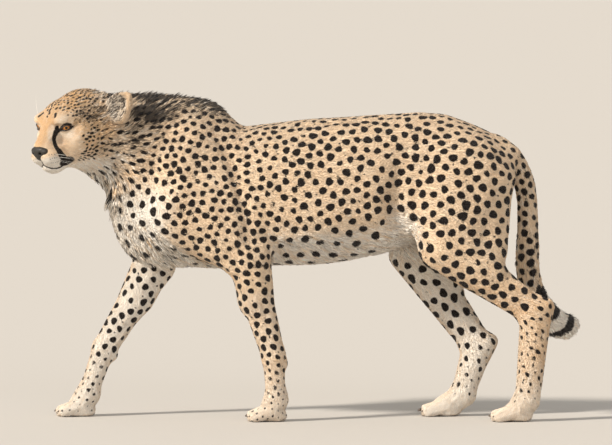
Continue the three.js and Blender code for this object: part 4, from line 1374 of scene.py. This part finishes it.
leather = merged_copy("nose", "nose_leather")
leather.data.remesh_voxel_size = 0.8 * MM
bpy.ops.object.voxel_remesh()
leather_around = Neighbours(leather.data)
pad = points_of(leather.data)
pad = leather_around.smooth(pad, 14, 0.6)
move_points(leather.data, pad)
pad += normals_of(leather.data) * 0.6 * MM
move_points(leather.data, pad)
pad_face = mirrored(to_head(pad))
sink = np.zeros(len(pad))
groove(sink, pad_face, [(-3, 0, -12), (-6, 0, -20), (-11, 0, -30)], 1.3, 1.6)  # down to the lip
groove(sink, pad_face, [(-4, 8.5, -12), (-4, 12, -8), (-8, 17.5, -8.5)], 3.0, 7.0)  # nostril
groove(sink, pad_face, [(-7, 19, -11), (-11, 23, -13), (-15, 25, -14)], 1.5, 3.2)  # its slit
groove(sink, pad_face, [(-1, 9, -3.5), (-5, 16, -2.5), (-10, 22, -6)], 3.0, -0.9)  # its rim
pad += normals_of(leather.data) * (sink * MM)[:, None]
move_points(leather.data, pad)
pad = leather_around.smooth(pad, 2, 0.4)
move_points(leather.data, pad)
bpy.ops.object.shade_smooth()

# Grey-brown and half matt, with pebbles about a millimetre apart that break up its shine.
leather_finish, tree = new_material("pebbled nose leather")
where = add_node(tree, "TexCoord").outputs["Object"]
pebbles = add_node(tree, "TexVoronoi", {"feature": "SMOOTH_F1"}, Vector=where, Scale=1 / 0.0011)
bump = add_node(tree, "Bump", Height=pebbles.outputs["Distance"], Strength=0.5, Distance=-0.0004)
cloudy = add_node(tree, "TexNoise", Vector=where, Scale=1 / 0.006, Detail=3.0)
shade = add_node(tree, "Mix", {"data_type": "RGBA"}, _0=cloudy.outputs["Fac"])
shade.inputs[6].default_value = linear("#1d1a18")
shade.inputs[7].default_value = linear("#35322d")
rough = add_node(tree, "BsdfPrincipled", Base_Color=shade.outputs[2], Roughness=0.48,
                 Normal=bump.outputs[0])
add_node(tree, "OutputMaterial", Surface=rough.outputs[0])
leather.data.materials.clear()
leather.data.materials.append(leather_finish)
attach(leather, "root")
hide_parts("nose")


# ------------------------------------------------------------------ claws
# Blunt dark horn, never fully drawn in, one to each toe. Each is the solid's claw with its edges
# rounded off, rooted in the toe above the pad.

# Dark brown streaked with grey-brown, worn to a low polish.
horn, tree = new_material("dark worn horn")
where = add_node(tree, "TexCoord").outputs["Object"]
layers = add_node(tree, "TexNoise", Vector=where, Scale=1 / 0.0025, Detail=4.0)
shade = add_node(tree, "Mix", {"data_type": "RGBA"}, _0=layers.outputs["Fac"])
shade.inputs[6].default_value = linear("#2b221c")
shade.inputs[7].default_value = linear("#6a5848")
hard = add_node(tree, "BsdfPrincipled", Base_Color=shade.outputs[2], Roughness=0.38)
add_node(tree, "OutputMaterial", Surface=hard.outputs[0])
claws = [node for node in bare if "claw" in node]
for node in claws:
    claw = merged_copy(node, node.replace("_paw_claw", "_claw"))
    smooth = claw.modifiers.new("round", "SUBSURF")
    smooth.levels = smooth.render_levels = 2
    bpy.ops.object.modifier_apply(modifier=smooth.name)
    shell = points_of(claw.data)
    move_points(claw.data, shell + normals_of(claw.data) * 0.25 * MM)
    bpy.ops.object.shade_smooth()
    claw.data.materials.clear()
    claw.data.materials.append(horn)
    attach(claw, "root")
    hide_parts(node)


# ------------------------------------------------------------------ whiskers
# Stiff white hairs in rows on each whisker pad, and a few over each eye. Each springs from a dark
# dot, bows outward and trails back and down.

whisker_dice = np.random.default_rng(23)
whiskers = bpy.data.curves.new("whiskers", "CURVE")
whiskers.dimensions = "3D"
whiskers.bevel_depth = 0.22 * MM
whiskers.bevel_resolution = 1
whiskers.use_fill_caps = True
roots = [(root, 58.0) for row in WHISKER_ROWS for root in row[-2:]]
roots += [(np.array(root), 40.0) for root in ((-62, 40, 58), (-58, 35, 60))]
for reach in (1, -1):
    for root, long in roots:
        found, facing, _, _ = hide_tree.find_nearest(from_head(root * (1, reach, 1)))
        out = unit(np.array(facing) @ head_axes)
        back_way = unit(np.array([-0.75, 0.45 * reach, -0.30 + 0.25 * whisker_dice.random()]))
        on_brow = root[2] > 0
        if on_brow:
            back_way = unit(np.array([-0.55, 0.35 * reach, 0.75]))
        long = long * whisker_dice.uniform(0.75, 1.15)
        begin = to_head(np.array(found)) - out * 1.5
        spline = whiskers.splines.new("POLY")
        shares = np.linspace(0, 1, 11)
        spline.points.add(len(shares) - 1)
        droop = np.array((0, 0, -12.0)) * (not on_brow)
        path = [begin + out * long * 0.55 * s * (1 - 0.45 * s)
                + back_way * long * (0.25 * s + 0.65 * s ** 1.6) + droop * s ** 2 for s in shares]
        path = from_head(np.array(path)).tolist()
        for point, place, s in zip(spline.points, path, shares.tolist()):
            point.co = (*place, 1)
            point.radius = 1 - 0.88 * s
piece = to_mesh(put("whiskers", whiskers))

# Clear white hair, smooth enough to catch the light all along.
bristle, tree = new_material("translucent white bristle")
pale = add_node(tree, "BsdfPrincipled", Base_Color=linear("#f4efe6"), Roughness=0.35)
add_node(tree, "OutputMaterial", Surface=pale.outputs[0])
piece.data.materials.append(bristle)
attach(piece, "root")


# ------------------------------------------------------------------ floor, light and camera
# A plain pale floor that runs out of sight, a sun-like lamp ahead of the animal and above, on its
# left, a weak broad one behind it on the same side, and a pale room all round.

FLOOR_SIDE = 900.0
bpy.ops.mesh.primitive_plane_add(size=FLOOR_SIDE, location=(0, 0, 0))
floor = bpy.context.object
floor.name = "floor"
matt, tree = new_material("matt pale studio paper")
paper = add_node(tree, "BsdfPrincipled", Base_Color=linear("#c9c4bd"), Roughness=0.9)
add_node(tree, "OutputMaterial", Surface=paper.outputs[0])
floor.data.materials.append(matt)

world = bpy.data.worlds.new("pale room")
world.use_nodes = True
world.node_tree.nodes["Background"].inputs["Color"].default_value = linear("#e9e6e1")
world.node_tree.nodes["Background"].inputs["Strength"].default_value = 0.66
bpy.context.scene.world = world


def soft_sun(name, toward, strength, colour, spread):
    """A lamp that shines the given way, with its spread in degrees."""
    light = bpy.data.lights.new(name, "SUN")
    light.energy = strength
    light.color = linear(colour)[:3]
    light.angle = math.radians(spread)
    put(name, light).rotation_euler = Vector(toward).to_track_quat("-Z", "Y").to_euler()


soft_sun("key lamp", (0.80, 0.46, -0.64), 4.1, "#fff7ec", 7)
soft_sun("fill lamp", (-0.3, 0.9, -0.35), 0.55, "#f3f4fb", 40)

DISTANCE = 14.0
LOOK_DOWN = math.radians(3.0)
FRAME_WIDTH = 1.4076  # metres across at the animal
AIM = Vector((-0.002, 0.0, 0.452))
SENSOR = 36.0
lens = bpy.data.cameras.new("camera")
lens.sensor_width = SENSOR
lens.lens = SENSOR * DISTANCE / FRAME_WIDTH
lens.clip_end = 2 * FLOOR_SIDE
camera = put("camera", lens)
camera.location = AIM + DISTANCE * Vector((0, -math.cos(LOOK_DOWN), math.sin(LOOK_DOWN)))
camera.rotation_euler = (math.radians(90) - LOOK_DOWN, 0, 0)
bpy.context.scene.camera = camera
bpy.context.scene.view_settings.view_transform = "Standard"
